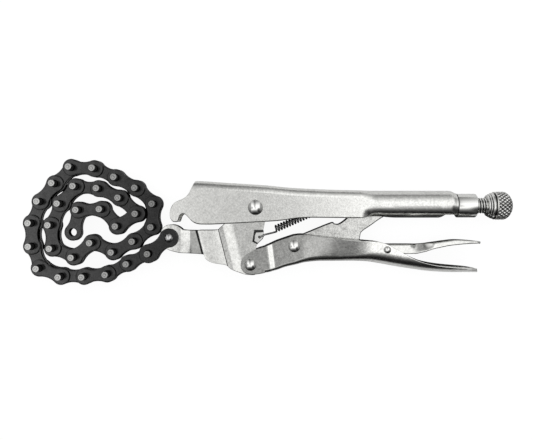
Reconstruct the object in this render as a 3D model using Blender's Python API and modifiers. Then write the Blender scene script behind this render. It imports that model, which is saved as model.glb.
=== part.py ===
# Locking chain clamp, locked shut and lying on its side with the chain coiled in front of the jaws.
# Lengths are in metres and angles in degrees. The origin is the main pivot's axis on the plane that
# the clamp lies on. +X runs to the adjusting knob, +Y to the back of the upper handle, and +Z is up.
import math

import bmesh
import bpy
from mathutils import Matrix, Vector

# Clearance between pieces that touch or turn on each other, and the overrun of every cutter
gap = 0.0003
overrun = 0.004

# Chain: plates, pins and bushings
chain_pitch = 0.015
chain_inner_width = 0.003
link_end_radius = 0.0056
link_waist = 0.0071
link_plate = 0.0014
pin_radius = 0.0022
pin_length = 0.0224
pin_chamfer = 0.0004
bushing_wall = 0.0009

# Anchor link, which joins the chain to the jaw's nose
anchor_x = -0.0559
anchor_y = -0.0197
anchor_pitch = 0.0166
anchor_end_radius = 0.0061
anchor_waist = 0.0080
anchor_rivet_head = 0.0029
anchor_rivet_shank = 0.0024
anchor_rivet_dome = 0.0004

# Heading of the anchor link, then the bend at each of the chain's thirty hinges, in the coil
rest_bends = [
    -142.5, -12.0, 1.5, -21.0, -6.0, -21.0, -49.5, -19.0, -22.5, -17.0, -6.5,
    -47.5, -20.0, -4.5, -15.0, -50.5, -49.5, -10.0, -51.0, 62.0, -61.0,
    -64.0, -26.5, -19.0, -53.0, -19.0, -19.0, -104.5, -80.0, 49.5, 72.5,
]

# Upper handle: a folded channel in front that closes to a tube behind
body_width = 0.0176
body_sheet = 0.0022
nose_reach = 0.0549
body_rise = 0.0171
body_drop = 0.0110
body_fold_radius = 0.0050
channel_reach = 0.0640
tube_axis_y = 0.0021
tube_radius = 0.0088
tube_start = 0.0610
tube_end = 0.1308
crimp_length = 0.0038
crimp_depth = 0.0009
seam_half_width = 0.0038
seam_start = 0.0570
seam_length = 0.0352
spring_post_x = 0.0530
spring_post_thickness = 0.0015
spring_post_width = 0.0030
spring_post_foot = 0.0034

# Adjusting screw, its bush and its knob, all on the screw's axis
screw_axis_y = 0.0012
screw_radius = 0.0051
screw_tip_radius = 0.0032
screw_tip_length = 0.0030
screw_tip_gap = 0.0034
bush_radius = 0.0077
bush_length = 0.0127
bush_chamfer = 0.0005
knob_start = 0.1502
knob_cone_length = 0.0052
knob_grip_length = 0.0072
knob_end_length = 0.0052
knob_radius = 0.0092
knob_collar_radius = 0.0068
knob_end_radius = 0.0042
knob_socket = 0.0120

# Lower jaw: two jogged plates with the nose lug between their front ends
jaw_sheet = 0.0024
jaw_reach = 0.0379
jaw_depth = 0.0435
jaw_ear_radius = 0.0075
jaw_boss_radius = 0.0062
jog_depth = 0.0022
jog_crease_x = -0.0260
jog_crest_x = -0.0143
jog_tilt = 10.0
lug_length = 0.0303
lug_height = 0.0104
lug_tail_width = 0.0028
spring_block_hole = 0.0009

# Lower handle: a folded channel with two ears in front
handle_pivot_x = -0.0032
handle_pivot_y = -0.0368
handle_sheet = 0.0020
handle_width = 0.0188
ear_radius = 0.0063
ear_reach = 0.0075
handle_reach = 0.1440
handle_lift = 0.0440
handle_corner = 0.0022

# Toggle link, measured along and across the line from its rivet to its far end
handle_arm = 0.0305
toggle_length = 0.0620
toggle_angle = 23.1
toggle_width = 0.0060
toggle_end_radius = 0.0044
toggle_eye_radius = 0.0056

# Release lever
release_width = 0.0122
release_sheet = 0.0015
release_nose = 0.0117
release_tail = 0.0616
release_pivot_share = 0.586
release_drop_share = 0.616

# Rivets
pivot_shank = 0.0030
pivot_head = 0.0047
handle_rivet_shank = 0.0024
handle_rivet_head = 0.0035
handle_rivet_dome = 0.0015
release_rivet_shank = 0.0014
release_rivet_head = 0.0022
release_rivet_dome = 0.0015
head_rim_share = 0.25
head_flat_share = 0.34

# Spring: close curls on a line that rises to the rear, with a hooked wire at each end
spring_wire_radius = 0.0005
spring_mean_radius = 0.00195
spring_pitch = 0.00155
spring_curls = 24
spring_points_a_curl = 8
spring_start_x = 0.0130
spring_start_y = -0.0134
spring_angle = 23.6

# Values that follow from the sizes above
mid = pin_length / 2
inner_low = chain_inner_width / 2
inner_high = inner_low + link_plate
outer_low = inner_high + gap
outer_high = outer_low + link_plate
anchor_low = outer_high + gap
anchor_high = anchor_low + link_plate
link_bore = pin_radius + gap
body_half = body_width / 2
body_inner = body_half - body_sheet
jaw_half = body_inner - gap
jaw_inner = jaw_half - jaw_sheet
handle_half = handle_width / 2
handle_inner = handle_half - handle_sheet
ear_inner = jaw_half + gap
ear_outer = ear_inner + handle_sheet
release_half = release_width / 2
spring_block_half = jaw_inner - gap
anchor = Vector((anchor_x, anchor_y))
handle_pivot = Vector((handle_pivot_x, handle_pivot_y))
release_pivot = Vector((handle_reach * release_pivot_share, -handle_lift * release_drop_share))
toggle_line = Vector((math.cos(math.radians(toggle_angle)), math.sin(math.radians(toggle_angle))))
toggle_pivot = handle_pivot + handle_arm * toggle_line
toggle_tip = toggle_pivot + toggle_length * toggle_line
screw_tip_x = toggle_tip.x + toggle_end_radius + screw_tip_gap
knob_end_x = knob_start + knob_cone_length + knob_grip_length + knob_end_length

# Outlines as shares of each piece's reach in front, behind, above and below its own reference point
nose_shares = [
    (-0.705, 1.0), (-0.78, 0.52), (-0.856, 0.316), (-0.944, 0.181), (-0.984, 0.0), (-1.0, -0.355),
    (-0.984, -0.70), (-0.958, -0.845), (-0.903, -0.82), (-0.887, -0.555), (-0.851, -0.38),
    (-0.816, -0.427), (-0.774, -0.636), (-0.705, -0.918), (-0.647, -0.99), (-0.546, -1.0),
]
body_bottom_shares = [
    (-0.364, -0.964), (0.0875, -0.845), (0.258, -0.79), (0.5, -0.636), (0.62, -0.60), (1.0, -0.62),
]
body_top_shares = [
    (1.0, 0.645), (0.652, 0.702), (0.448, 0.737), (0.297, 0.778), (0.147, 0.830), (-0.005, 0.865),
    (-0.359, 0.936), (-0.705, 1.0),
]
jaw_front_shares = [
    (-1.0, -0.329), (-0.905, -0.722), (-0.897, -0.763), (-0.773, -0.811), (-0.551, -0.851),
    (-0.406, -0.910), (-0.306, -0.970),
]
jaw_top_shares = [(-0.398, -0.097), (-0.536, -0.246), (-0.636, -0.303)]
jaw_back_shares = [(0.018, -0.616), (0.12, -0.40), (0.14, -0.22)]
window_shares = [(0.30, -0.305), (-0.035, -0.305), (-0.10, -0.535), (0.05, -0.585), (0.30, -0.585)]
block_shares = [(-0.24, -0.33), (0.118, -0.33), (0.13, -0.41), (0.028, -0.545), (-0.24, -0.52)]
block_hole_shares = (0.03, -0.45)
lug_shares = [
    (0.15, 0.865), (0.02, 0.78), (-0.09, 0.53), (-0.155, 0.22), (-0.168, -0.08), (-0.129, -0.375),
    (-0.043, -0.625), (0.076, -0.76), (0.34, -0.94), (0.66, -0.97), (0.79, -1.0), (1.0, -0.75),
    (0.957, 0.43), (0.617, 0.49), (0.426, 0.43), (0.297, 0.74),
]
lug_crest_share = 0.37
lug_foot_share = 0.56
handle_top_shares = [
    (-0.02, -0.648), (0.007, -0.598), (0.060, -0.555), (0.114, -0.473), (0.149, -0.423), (0.207, -0.389),
    (0.287, -0.423), (0.376, -0.459), (0.465, -0.486), (0.54, -0.493), (0.593, -0.545), (0.66, -0.673),
    (0.726, -0.780), (0.81, -0.852), (0.90, -0.889), (0.992, -0.935),
]
handle_bottom_shares = [
    (1.0, -0.960), (0.942, -0.957), (0.897, -0.957), (0.830, -0.950), (0.763, -0.932), (0.695, -0.900),
    (0.628, -0.866), (0.560, -0.827), (0.492, -0.793), (0.425, -0.786), (0.358, -0.786), (0.290, -0.782),
    (0.222, -0.798), (0.178, -0.836), (0.133, -0.866), (0.0875, -0.914), (0.044, -0.955),
]
# Corner radius of the lower handle's section, from the plain corner in front to a half round behind
handle_round_shares = [
    (0.0, 0.0), (0.16, 0.05), (0.222, 0.2), (0.290, 0.4), (0.358, 0.6), (0.425, 0.78), (0.52, 0.9),
    (0.60, 1.0), (2.0, 1.0),
]
toggle_top_shares = [
    (0.965, 0.0745), (0.70, 0.074), (0.616, 0.047), (0.565, 0.033), (0.518, 0.029), (0.480, 0.05),
    (0.445, 0.073), (0.127, 0.078),
]
toggle_bottom_shares = [
    (0.03, -0.088), (0.32, -0.210), (0.55, -0.255), (0.640, -0.230), (0.675, -0.185), (0.71, -0.145),
    (0.80, -0.125), (0.89, -0.105), (0.97, -0.0745),
]
release_shares = [
    (-1.0, 0.026), (-0.34, 0.052), (0.03, 0.057), (0.29, 0.057), (0.48, 0.071), (0.62, 0.091),
    (0.74, 0.104), (0.88, 0.096), (1.0, 0.084), (1.0, 0.067), (0.87, 0.066), (0.68, 0.042),
    (0.55, 0.016), (0.42, -0.012), (0.29, -0.035), (0.10, -0.055), (-0.12, -0.057), (-1.0, -0.046),
]
release_top_count = 9

metal_colors = {
    "nickel_steel": ((0.72, 0.72, 0.70), 0.32, 1.0),
    "bright_steel": ((0.82, 0.82, 0.81), 0.16, 1.0),
    "spring_steel": ((0.45, 0.45, 0.45), 0.25, 1.0),
    "black_oxide": ((0.045, 0.046, 0.05), 0.42, 1.0),
}


def clear_scene():
    for old in list(bpy.data.objects):
        bpy.data.objects.remove(old)


def new_collection(name, hidden=False):
    group = bpy.data.collections.new(name)
    bpy.context.scene.collection.children.link(group)
    group.hide_render = hidden
    return group


def make_materials():
    made = {}
    for name, (color, roughness, metallic) in metal_colors.items():
        material = bpy.data.materials.new(name)
        material.use_nodes = True
        shader = material.node_tree.nodes["Principled BSDF"]
        shader.inputs["Base Color"].default_value = (*color, 1.0)
        shader.inputs["Roughness"].default_value = roughness
        shader.inputs["Metallic"].default_value = metallic
        made[name] = material
    return made


def add_object(name, data, group, material=None):
    made = bpy.data.objects.new(name, data)
    group.objects.link(made)
    if material and not data.materials:
        data.materials.append(material)
    return made


def evaluated_mesh(source):
    bpy.context.view_layer.update()
    graph = bpy.context.evaluated_depsgraph_get()
    mesh = bpy.data.meshes.new_from_object(source.evaluated_get(graph))
    mesh.transform(source.matrix_world)
    return mesh


def weld(mesh):
    # Joins doubled corners and turns flat fans of triangles back into single faces
    work = bmesh.new()
    work.from_mesh(mesh)
    bmesh.ops.remove_doubles(work, verts=work.verts, dist=gap / 1000)
    bmesh.ops.dissolve_degenerate(work, edges=work.edges, dist=gap / 1000)
    bmesh.ops.dissolve_limit(work, verts=work.verts, edges=work.edges, angle_limit=math.radians(0.05))
    bmesh.ops.recalc_face_normals(work, faces=work.faces)
    work.to_mesh(mesh)
    work.free()


def placed(shares, reference, front, behind, above, below):
    points = []
    for along, across in shares:
        x = along * (behind if along > 0 else front)
        y = across * (above if across > 0 else below)
        points.append(reference + Vector((x, y)))
    return points


def arc(center, radius, start, end, steps):
    points = []
    for step in range(steps + 1):
        angle = math.radians(start + (end - start) * step / steps)
        points.append(center + radius * Vector((math.cos(angle), math.sin(angle))))
    return points


def prism(outline, low, high):
    curve = bpy.data.curves.new("outline", "CURVE")
    curve.dimensions = "2D"
    curve.fill_mode = "BOTH"
    curve.extrude = (high - low) / 2
    spline = curve.splines.new("POLY")
    spline.points.add(len(outline) - 1)
    for point, place in zip(spline.points, outline):
        point.co = (place.x, place.y, 0.0, 1.0)
    spline.use_cyclic_u = True
    flat = add_object("outline", curve, cutters)
    flat.location.z = (low + high) / 2
    mesh = evaluated_mesh(flat)
    bpy.data.objects.remove(flat)
    weld(mesh)
    return mesh


def loft(rings):
    # Closed skin over rings of equally many corners, with a flat cap at each end
    mesh = bpy.data.meshes.new("loft")
    work = bmesh.new()
    rows = [[work.verts.new(corner) for corner in ring] for ring in rings]
    for first, second in zip(rows, rows[1:]):
        for i in range(len(first)):
            j = (i + 1) % len(first)
            work.faces.new((first[i], first[j], second[j], second[i]))
    work.faces.new(rows[0])
    work.faces.new(list(reversed(rows[-1])))
    work.to_mesh(mesh)
    work.free()
    weld(mesh)
    return mesh


def folded_ring(x, web, half, corner, open_y):
    # Section of a folded sheet's outline: two straight sides, two round corners and the web
    facing = math.copysign(1.0, open_y - web)
    side = [Vector((x, open_y, half))]
    for step in range(5):
        angle = math.radians(90 * step / 4)
        side.append(Vector((x, web + facing * corner * (1 - math.sin(angle)),
                            half - corner * (1 - math.cos(angle)))))
    return side + [Vector((place.x, place.y, -place.z)) for place in reversed(side)]


def height_at(points, x):
    # Height of an outline that runs along X, read between its points
    ordered = sorted(points, key=lambda point: point.x)
    for first, second in zip(ordered, ordered[1:]):
        if first.x <= x <= second.x and second.x > first.x:
            return first.y + (second.y - first.y) * (x - first.x) / (second.x - first.x)
    return ordered[0].y if x < ordered[0].x else ordered[-1].y


def cylinder(center, radius, low, high, sides):
    mesh = bpy.data.meshes.new("cylinder")
    work = bmesh.new()
    bmesh.ops.create_cone(
        work, cap_ends=True, segments=sides, radius1=radius, radius2=radius, depth=high - low,
        matrix=Matrix.Translation((center.x, center.y, (low + high) / 2)),
    )
    work.to_mesh(mesh)
    work.free()
    return mesh


def box(low, high):
    size = [top - bottom for bottom, top in zip(low, high)]
    center = [(top + bottom) / 2 for bottom, top in zip(low, high)]
    mesh = bpy.data.meshes.new("box")
    work = bmesh.new()
    bmesh.ops.create_cube(work, size=1.0, matrix=Matrix.Translation(center) @ Matrix.Diagonal((*size, 1.0)))
    work.to_mesh(mesh)
    work.free()
    return mesh


def turned(profile, steps):
    # The profile runs down the outer side at +X from the top of the axis to its foot
    mesh = bpy.data.meshes.new("profile")
    mesh.from_pydata([(radius, 0.0, height) for radius, height in profile],
                     [(i, i + 1) for i in range(len(profile) - 1)], [])
    lathe = add_object("profile", mesh, cutters)
    screw = lathe.modifiers.new("turn", "SCREW")
    screw.axis = "Z"
    screw.steps = steps
    screw.render_steps = steps
    screw.use_merge_vertices = True
    screw.merge_threshold = gap / 10
    made = evaluated_mesh(lathe)
    bpy.data.objects.remove(lathe)
    weld(made)
    return made


def along_tube(mesh, axis_y):
    # A turned shape's Z becomes +X, on an axis at the given height
    mesh.transform(Matrix.Translation((0.0, axis_y, 0.0)) @ Matrix.Rotation(math.radians(90), 4, "Y"))
    return mesh


def combine(base, others, operation):
    mesh = base
    for other in others:
        body = add_object("body", mesh, cutters)
        helper = add_object("helper", other, cutters)
        helper.hide_render = True
        helper.display_type = "WIRE"
        step = body.modifiers.new("step", "BOOLEAN")
        step.operation = operation
        step.solver = "EXACT"
        step.object = helper
        mesh = evaluated_mesh(body)
        bpy.data.objects.remove(body)
        bpy.data.objects.remove(helper)
        weld(mesh)
    return mesh


def cut(base, *others):
    return combine(base, others, "DIFFERENCE")


def join(base, *others):
    return combine(base, others, "UNION")


def common(base, other):
    return combine(base, [other], "INTERSECT")


def shade(mesh):
    mesh.shade_smooth()
    mesh.set_sharp_from_angle(angle=math.radians(32))
    return mesh


def mirrored(mesh):
    other = mesh.copy()
    other.transform(Matrix.Diagonal((1.0, 1.0, -1.0, 1.0)))
    other.flip_normals()
    return other


def place_piece(name, mesh, material, parent, origin):
    # Meshes are drawn about the mid-plane in the part's frame, then moved to their own origin
    mesh.transform(Matrix.Translation((-origin.x, -origin.y, 0.0)))
    mesh.name = name
    piece = add_object(name, shade(mesh), parts, materials[material])
    piece.parent = parent
    if parent:
        piece.location = (origin.x - pivot_place[parent.name].x, origin.y - pivot_place[parent.name].y, 0.0)
    return piece


def make_pivot(name, place, parent):
    pivot = bpy.data.objects.new(name, None)
    parts.objects.link(pivot)
    pivot.parent = parent
    before = pivot_place[parent.name] if parent else Vector((0.0, 0.0))
    pivot.location = (place.x - before.x, place.y - before.y, 0.0 if parent else mid)
    pivot_place[name] = place
    return pivot


# Chain

def link_outline(pitch, end_radius, waist, end_steps, waist_steps):
    # Two round ends joined by hollow arcs that touch them and leave the waist between
    half = pitch / 2
    depth = waist / 2
    rise = (half ** 2 - (end_radius - depth) ** 2) / (2 * (end_radius - depth))
    hollow = rise
    reach = depth + hollow
    touch = math.degrees(math.atan2(reach, half))
    near = Vector((0.0, 0.0))
    far = Vector((pitch, 0.0))
    points = arc(near, end_radius, touch, 360 - touch, end_steps)
    points += arc(Vector((half, -reach)), hollow, 180 - touch, touch, waist_steps)[1:-1]
    points += arc(far, end_radius, touch - 180, 180 - touch, end_steps)
    points += arc(Vector((half, reach)), hollow, -touch, touch - 180, waist_steps)[1:-1]
    return points


def link_plates(outline, low, high):
    return prism(outline, low, high), prism(outline, -high, -low)


def pin_mesh(x):
    profile = [
        (0.0, pin_length / 2), (pin_radius - pin_chamfer, pin_length / 2), (pin_radius, pin_length / 2 - pin_chamfer),
        (pin_radius, pin_chamfer - pin_length / 2), (pin_radius - pin_chamfer, -pin_length / 2),
        (0.0, -pin_length / 2),
    ]
    mesh = turned(profile, 8)
    mesh.transform(Matrix.Translation((x, 0.0, 0.0)))
    return mesh


def outer_link_mesh():
    outline = link_outline(chain_pitch, link_end_radius, link_waist, 6, 2)
    near, far = link_plates(outline, outer_low, outer_high)
    return shade(join(near, pin_mesh(0.0), far, pin_mesh(chain_pitch)))


def inner_link_mesh():
    outline = link_outline(chain_pitch, link_end_radius, link_waist, 6, 2)
    near, far = link_plates(outline, inner_low, inner_high)
    bushings = []
    bores = []
    for x in (0.0, chain_pitch):
        center = Vector((x, 0.0))
        bushings.append(cylinder(center, link_bore + bushing_wall, -inner_low - link_plate / 2,
                                 inner_low + link_plate / 2, 8))
        bores.append(cylinder(center, link_bore, -overrun, overrun, 8))
    return shade(cut(join(near, bushings[0], far, bushings[1]), *bores))


def build_chain(jaw_pivot):
    anchor_pivot = make_pivot("chain_anchor_pivot", anchor, jaw_pivot)
    anchor_pivot.rotation_euler.z = math.radians(rest_bends[0])
    outline = link_outline(anchor_pitch, anchor_end_radius, anchor_waist, 10, 4)
    for name, plate in zip(("anchor_plate_near", "anchor_plate_far"),
                           link_plates(outline, anchor_low, anchor_high)):
        holes = (cylinder(Vector((0.0, 0.0)), anchor_rivet_head + gap, -pin_length, pin_length, 16),
                 cylinder(Vector((anchor_pitch, 0.0)), link_bore, -pin_length, pin_length, 12))
        piece = add_object(name, shade(cut(plate, *holes)), parts, materials["black_oxide"])
        piece.parent = anchor_pivot
    outer = outer_link_mesh()
    inner = inner_link_mesh()
    before = anchor_pivot
    step = anchor_pitch
    for number, bend in enumerate(rest_bends[1:], start=1):
        is_outer = number % 2 == 1
        kind = "outer_link" if is_outer else "inner_link"
        name = "chain_end_link" if number == len(rest_bends) - 1 else f"{kind}_{number:02d}"
        link = add_object(name, outer if is_outer else inner, parts, materials["black_oxide"])
        link.parent = before
        link.location.x = step
        link.rotation_euler.z = math.radians(bend)
        before = link
        step = chain_pitch


# Upper handle

def body_points(shares, lower=0.0):
    points = placed(shares, Vector((0.0, 0.0)), nose_reach, channel_reach, body_rise, body_drop)
    return [point - Vector((0.0, lower)) for point in points]


def channel_skin(points, inset):
    # Folded skin under the handle's back, set in from the outer one by a sheet's thickness
    low = -body_drop - overrun
    rings = []
    for point in points:
        rings.append(folded_ring(point.x, point.y - inset, body_half - inset, body_fold_radius - inset, low))
    return loft(rings)


def build_upper_handle(root):
    top = body_points(body_top_shares)
    front = Vector((-nose_reach - overrun, top[-1].y))
    above = body_rise + overrun
    outline = prism(body_points(nose_shares + body_bottom_shares)
                    + [Vector((channel_reach, above)), Vector((top[-1].x, above))],
                    -body_half - overrun, body_half + overrun)
    channel = common(outline, channel_skin(top + [front], 0.0))
    behind = Vector((channel_reach + overrun, top[0].y))
    pocket = channel_skin([behind] + top + [front], body_sheet)
    bore_radius = tube_radius - body_sheet
    tube = along_tube(turned([
        (0.0, tube_end), (tube_radius - crimp_depth, tube_end), (tube_radius, tube_end - crimp_length),
        (tube_radius, tube_start), (0.0, tube_start),
    ], 24), tube_axis_y)
    bore = along_tube(turned([
        (0.0, tube_end + overrun), (bore_radius, tube_end + overrun), (bore_radius, tube_start - overrun),
        (0.0, tube_start - overrun),
    ], 20), tube_axis_y)
    seam = box((seam_start, -body_drop - overrun, -seam_half_width),
               (seam_start + seam_length, tube_axis_y, seam_half_width))
    pivot_hole = cylinder(Vector((0.0, 0.0)), pivot_shank + gap, -body_width, body_width, 14)
    post = box((spring_post_x, spring_post_foot, -spring_post_width / 2),
               (spring_post_x + spring_post_thickness, height_at(top, spring_post_x) - body_sheet / 2,
                spring_post_width / 2))
    mesh = join(cut(channel, pocket, bore, pivot_hole), cut(tube, bore.copy()))
    mesh = join(cut(mesh, seam), post)
    place_piece("upper_handle", mesh, "nickel_steel", root, Vector((0.0, 0.0)))


def rivet_mesh(center, shank, head, head_low, head_high, steps):
    rim = head_low + (head_high - head_low) * head_rim_share
    flat = head * head_flat_share
    upper = [(0.0, head_high), (flat, head_high), (head * 0.78, (head_high * 2 + rim) / 3), (head, rim),
             (head, head_low), (shank, head_low)]
    profile = upper + [(radius, -height) for radius, height in reversed(upper)]
    mesh = turned(profile, steps)
    mesh.transform(Matrix.Translation((center.x, center.y, 0.0)))
    return mesh


def build_upper_body(root):
    build_upper_handle(root)
    origin = Vector((0.0, 0.0))
    rivet = rivet_mesh(origin, pivot_shank, pivot_head, body_half + gap, mid, 18)
    place_piece("main_pivot_rivet", rivet, "bright_steel", root, origin)
    start = tube_end + gap
    bore = screw_radius + gap
    bush = along_tube(turned([
        (bore, start + bush_length), (bush_radius - bush_chamfer, start + bush_length),
        (bush_radius, start + bush_length - bush_chamfer), (bush_radius, start), (bore, start),
        (bore, start + bush_length),
    ], 20), screw_axis_y)
    place_piece("thread_bush", bush, "nickel_steel", root, Vector((0.0, screw_axis_y)))


def build_screw(root):
    axis_place = Vector((knob_start, screw_axis_y))
    screw_pivot = make_pivot("screw_slide", axis_place, root)
    end = knob_start + knob_socket - gap
    screw = along_tube(turned([
        (0.0, end), (screw_radius, end), (screw_radius, screw_tip_x + screw_tip_length),
        (screw_tip_radius, screw_tip_x), (0.0, screw_tip_x),
    ], 16), screw_axis_y)
    place_piece("adjusting_screw", screw, "nickel_steel", screw_pivot, axis_place)
    knob_pivot = make_pivot("knob_turn", axis_place, screw_pivot)
    socket = screw_radius + gap
    grip_start = knob_start + knob_cone_length
    grip_end = grip_start + knob_grip_length
    knob = along_tube(turned([
        (0.0, knob_end_x), (knob_end_radius, knob_end_x), (knob_radius, grip_end), (knob_radius, grip_start),
        (knob_collar_radius, knob_start), (socket, knob_start), (socket, knob_start + knob_socket),
        (0.0, knob_start + knob_socket),
    ], 24), screw_axis_y)
    place_piece("knurled_knob", knob, "nickel_steel", knob_pivot, axis_place)


# Lower jaw

def jaw_points(shares):
    return placed(shares, Vector((0.0, 0.0)), jaw_reach, jaw_reach, jaw_depth, jaw_depth)


def jaw_outline():
    points = jaw_points(jaw_front_shares)
    points += arc(handle_pivot, jaw_boss_radius, -115, 35, 6)
    points += jaw_points(jaw_back_shares)
    points += arc(Vector((0.0, 0.0)), jaw_ear_radius, -50, 165, 8)
    return points + jaw_points(jaw_top_shares)


def jog(mesh):
    # The plate steps towards the mid-plane between two parallel bend lines
    tilt = math.radians(jog_tilt)
    across = Vector((math.cos(tilt), math.sin(tilt), 0.0))
    width = (jog_crest_x - jog_crease_x) * across.x
    work = bmesh.new()
    work.from_mesh(mesh)
    for line_x in (jog_crease_x, jog_crest_x):
        parts_of_mesh = work.verts[:] + work.edges[:] + work.faces[:]
        bmesh.ops.bisect_plane(work, geom=parts_of_mesh, dist=gap / 1000,
                               plane_co=(line_x, 0.0, 0.0), plane_no=across)
    for vertex in work.verts:
        ahead = (vertex.co - Vector((jog_crest_x, 0.0, 0.0))).dot(across)
        share = min(max(-ahead / width, 0.0), 1.0)
        vertex.co.z -= math.copysign(jog_depth * share, vertex.co.z)
    work.to_mesh(mesh)
    work.free()
    return mesh


def jaw_plate_mesh():
    plate = prism(jaw_outline(), jaw_inner, jaw_half)
    plate = cut(plate,
                cylinder(Vector((0.0, 0.0)), pivot_shank + gap, -body_width, body_width, 14),
                cylinder(handle_pivot, handle_rivet_shank + gap, -body_width, body_width, 12),
                prism(jaw_points(window_shares), -body_width, body_width))
    return jog(plate)


def lug_mesh():
    points = []
    for along, across in lug_shares:
        points.append(anchor + Vector((along * lug_length, across * lug_height)))
    block = prism(points, -outer_high, outer_high)
    low = min(point.x for point in points) - overrun
    high = max(point.x for point in points) + overrun
    crest = anchor.x + lug_crest_share * lug_length
    foot = anchor.x + lug_foot_share * lug_length
    tail = lug_tail_width / 2
    section = [Vector((low, outer_high)), Vector((low, -outer_high)), Vector((crest, -outer_high)),
               Vector((foot, -tail)), Vector((high, -tail)), Vector((high, tail)), Vector((foot, tail)),
               Vector((crest, outer_high))]
    depth = 2 * lug_height
    bar = prism(section, anchor.y - depth, anchor.y + depth)
    bar.transform(Matrix(((1, 0, 0, 0), (0, 0, 1, 0), (0, 1, 0, 0), (0, 0, 0, 1))))
    bar.flip_normals()
    hole = cylinder(anchor, anchor_rivet_shank + gap, -body_width, body_width, 14)
    return cut(common(block, bar), hole)


def anchor_rivet_mesh():
    top = anchor_high + anchor_rivet_dome
    upper = [(0.0, top), (anchor_rivet_head / 2, top - anchor_rivet_dome / 4), (anchor_rivet_head, anchor_high - gap),
             (anchor_rivet_head, anchor_low), (anchor_rivet_shank, anchor_low)]
    mesh = turned(upper + [(radius, -height) for radius, height in reversed(upper)], 14)
    mesh.transform(Matrix.Translation((anchor.x, anchor.y, 0.0)))
    return mesh


def build_jaw(root):
    origin = Vector((0.0, 0.0))
    jaw_pivot = make_pivot("jaw_pivot", origin, root)
    near = jaw_plate_mesh()
    far = mirrored(near)
    place_piece("lower_jaw_plate_near", near, "nickel_steel", jaw_pivot, origin)
    place_piece("lower_jaw_plate_far", far, "nickel_steel", jaw_pivot, origin)
    place_piece("jaw_nose_lug", lug_mesh(), "nickel_steel", jaw_pivot, anchor)
    place_piece("chain_anchor_rivet", anchor_rivet_mesh(), "bright_steel", jaw_pivot, anchor)
    hole_place = jaw_points([block_hole_shares])[0]
    block = cut(prism(jaw_points(block_shares), -spring_block_half, spring_block_half),
                cylinder(hole_place, spring_block_hole, spring_block_half / 3, spring_block_half + overrun, 10))
    place_piece("spring_block", block, "nickel_steel", jaw_pivot, hole_place)
    return jaw_pivot


# Lower handle

def handle_points(shares):
    return placed(shares, Vector((0.0, 0.0)), handle_reach, handle_reach, handle_lift, handle_lift)


def trough_skin(bottom, inset):
    # Folded skin over the handle's bottom edge, whose corners open into a half round behind
    sky = overrun
    below = -handle_lift - overrun
    ends = [Vector((handle_reach + overrun, bottom[0].y))] + bottom
    ends += [Vector((bottom[-1].x - gap, below)), Vector((-handle_reach, below))]
    rings = []
    for point in reversed(ends):
        share = height_at([Vector(pair) for pair in handle_round_shares], max(point.x, 0.0) / handle_reach)
        corner = handle_corner + (handle_half - handle_corner) * share
        rings.append(folded_ring(point.x, point.y + inset, handle_half - inset, max(corner - inset, gap), sky))
    return loft(rings)


def lower_handle_mesh():
    top = handle_points(handle_top_shares)
    bottom = handle_points(handle_bottom_shares)
    ear = arc(handle_pivot, ear_radius, 290, 140, 7)
    under = [Vector((bottom[0].x, -handle_lift - overrun)), Vector((bottom[-1].x, -handle_lift - overrun))]
    side = prism(ear + top + [bottom[0]] + under + [bottom[-1]], -handle_half - overrun, handle_half + overrun)
    solid = common(side, trough_skin(bottom, 0.0))
    front = ear_reach + 2 * handle_sheet
    pocket = common(trough_skin(bottom, handle_sheet),
                    box((front, -handle_lift - overrun, -handle_half),
                        (handle_reach + 2 * overrun, overrun, handle_half)))
    floor = height_at(bottom, ear_reach) + handle_sheet
    ear_pocket = [Vector((-handle_lift, overrun)), Vector((-handle_lift, -handle_lift - overrun)),
                  Vector((ear_reach, -handle_lift - overrun)), Vector((ear_reach, floor)),
                  Vector((front + gap, floor)), Vector((front + gap, overrun))]
    cheeks = []
    for side in (-1, 1):
        low, high = sorted((side * ear_outer, side * (handle_half + overrun)))
        cheeks.append(box((-handle_lift, -handle_lift - overrun, low), (ear_reach + gap, overrun, high)))
    holes = (cylinder(handle_pivot, handle_rivet_shank + gap, -body_width, body_width, 12),
             cylinder(toggle_pivot, handle_rivet_shank + gap, -body_width, body_width, 12),
             cylinder(release_pivot, release_rivet_shank + gap, -body_width, body_width, 10))
    return cut(solid, pocket, prism(ear_pocket, -ear_inner, ear_inner), *cheeks, *holes)


def toggle_mesh():
    points = arc(Vector((toggle_length, 0.0)), toggle_end_radius, -90, 90, 6)
    points += [Vector((along * toggle_length, across * toggle_length)) for along, across in toggle_top_shares]
    points += arc(Vector((0.0, 0.0)), toggle_eye_radius, 70, 250, 6)
    points += [Vector((along * toggle_length, across * toggle_length)) for along, across in toggle_bottom_shares]
    plate = cut(prism(points, -toggle_width / 2, toggle_width / 2),
                cylinder(Vector((0.0, 0.0)), handle_rivet_shank + gap, -body_width, body_width, 12))
    plate.transform(Matrix.Translation((toggle_pivot.x, toggle_pivot.y, 0.0))
                    @ Matrix.Rotation(math.radians(toggle_angle), 4, "Z"))
    return plate


def release_mesh():
    points = placed(release_shares, release_pivot, release_nose, release_tail, release_tail, release_tail)
    roof = [point - Vector((0.0, release_sheet)) for point in points[:release_top_count]]
    front = points[0].x - overrun
    pocket = [Vector((front, roof[0].y))] + roof
    pocket += [Vector((roof[-1].x + overrun, roof[-1].y)), Vector((roof[-1].x + overrun, points[-1].y - overrun)),
               Vector((front, points[-1].y - overrun))]
    inner = release_half - release_sheet
    hole = cylinder(release_pivot, release_rivet_shank + gap, -body_width, body_width, 10)
    return cut(prism(points, -release_half, release_half), prism(pocket, -inner, inner), hole)


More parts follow.
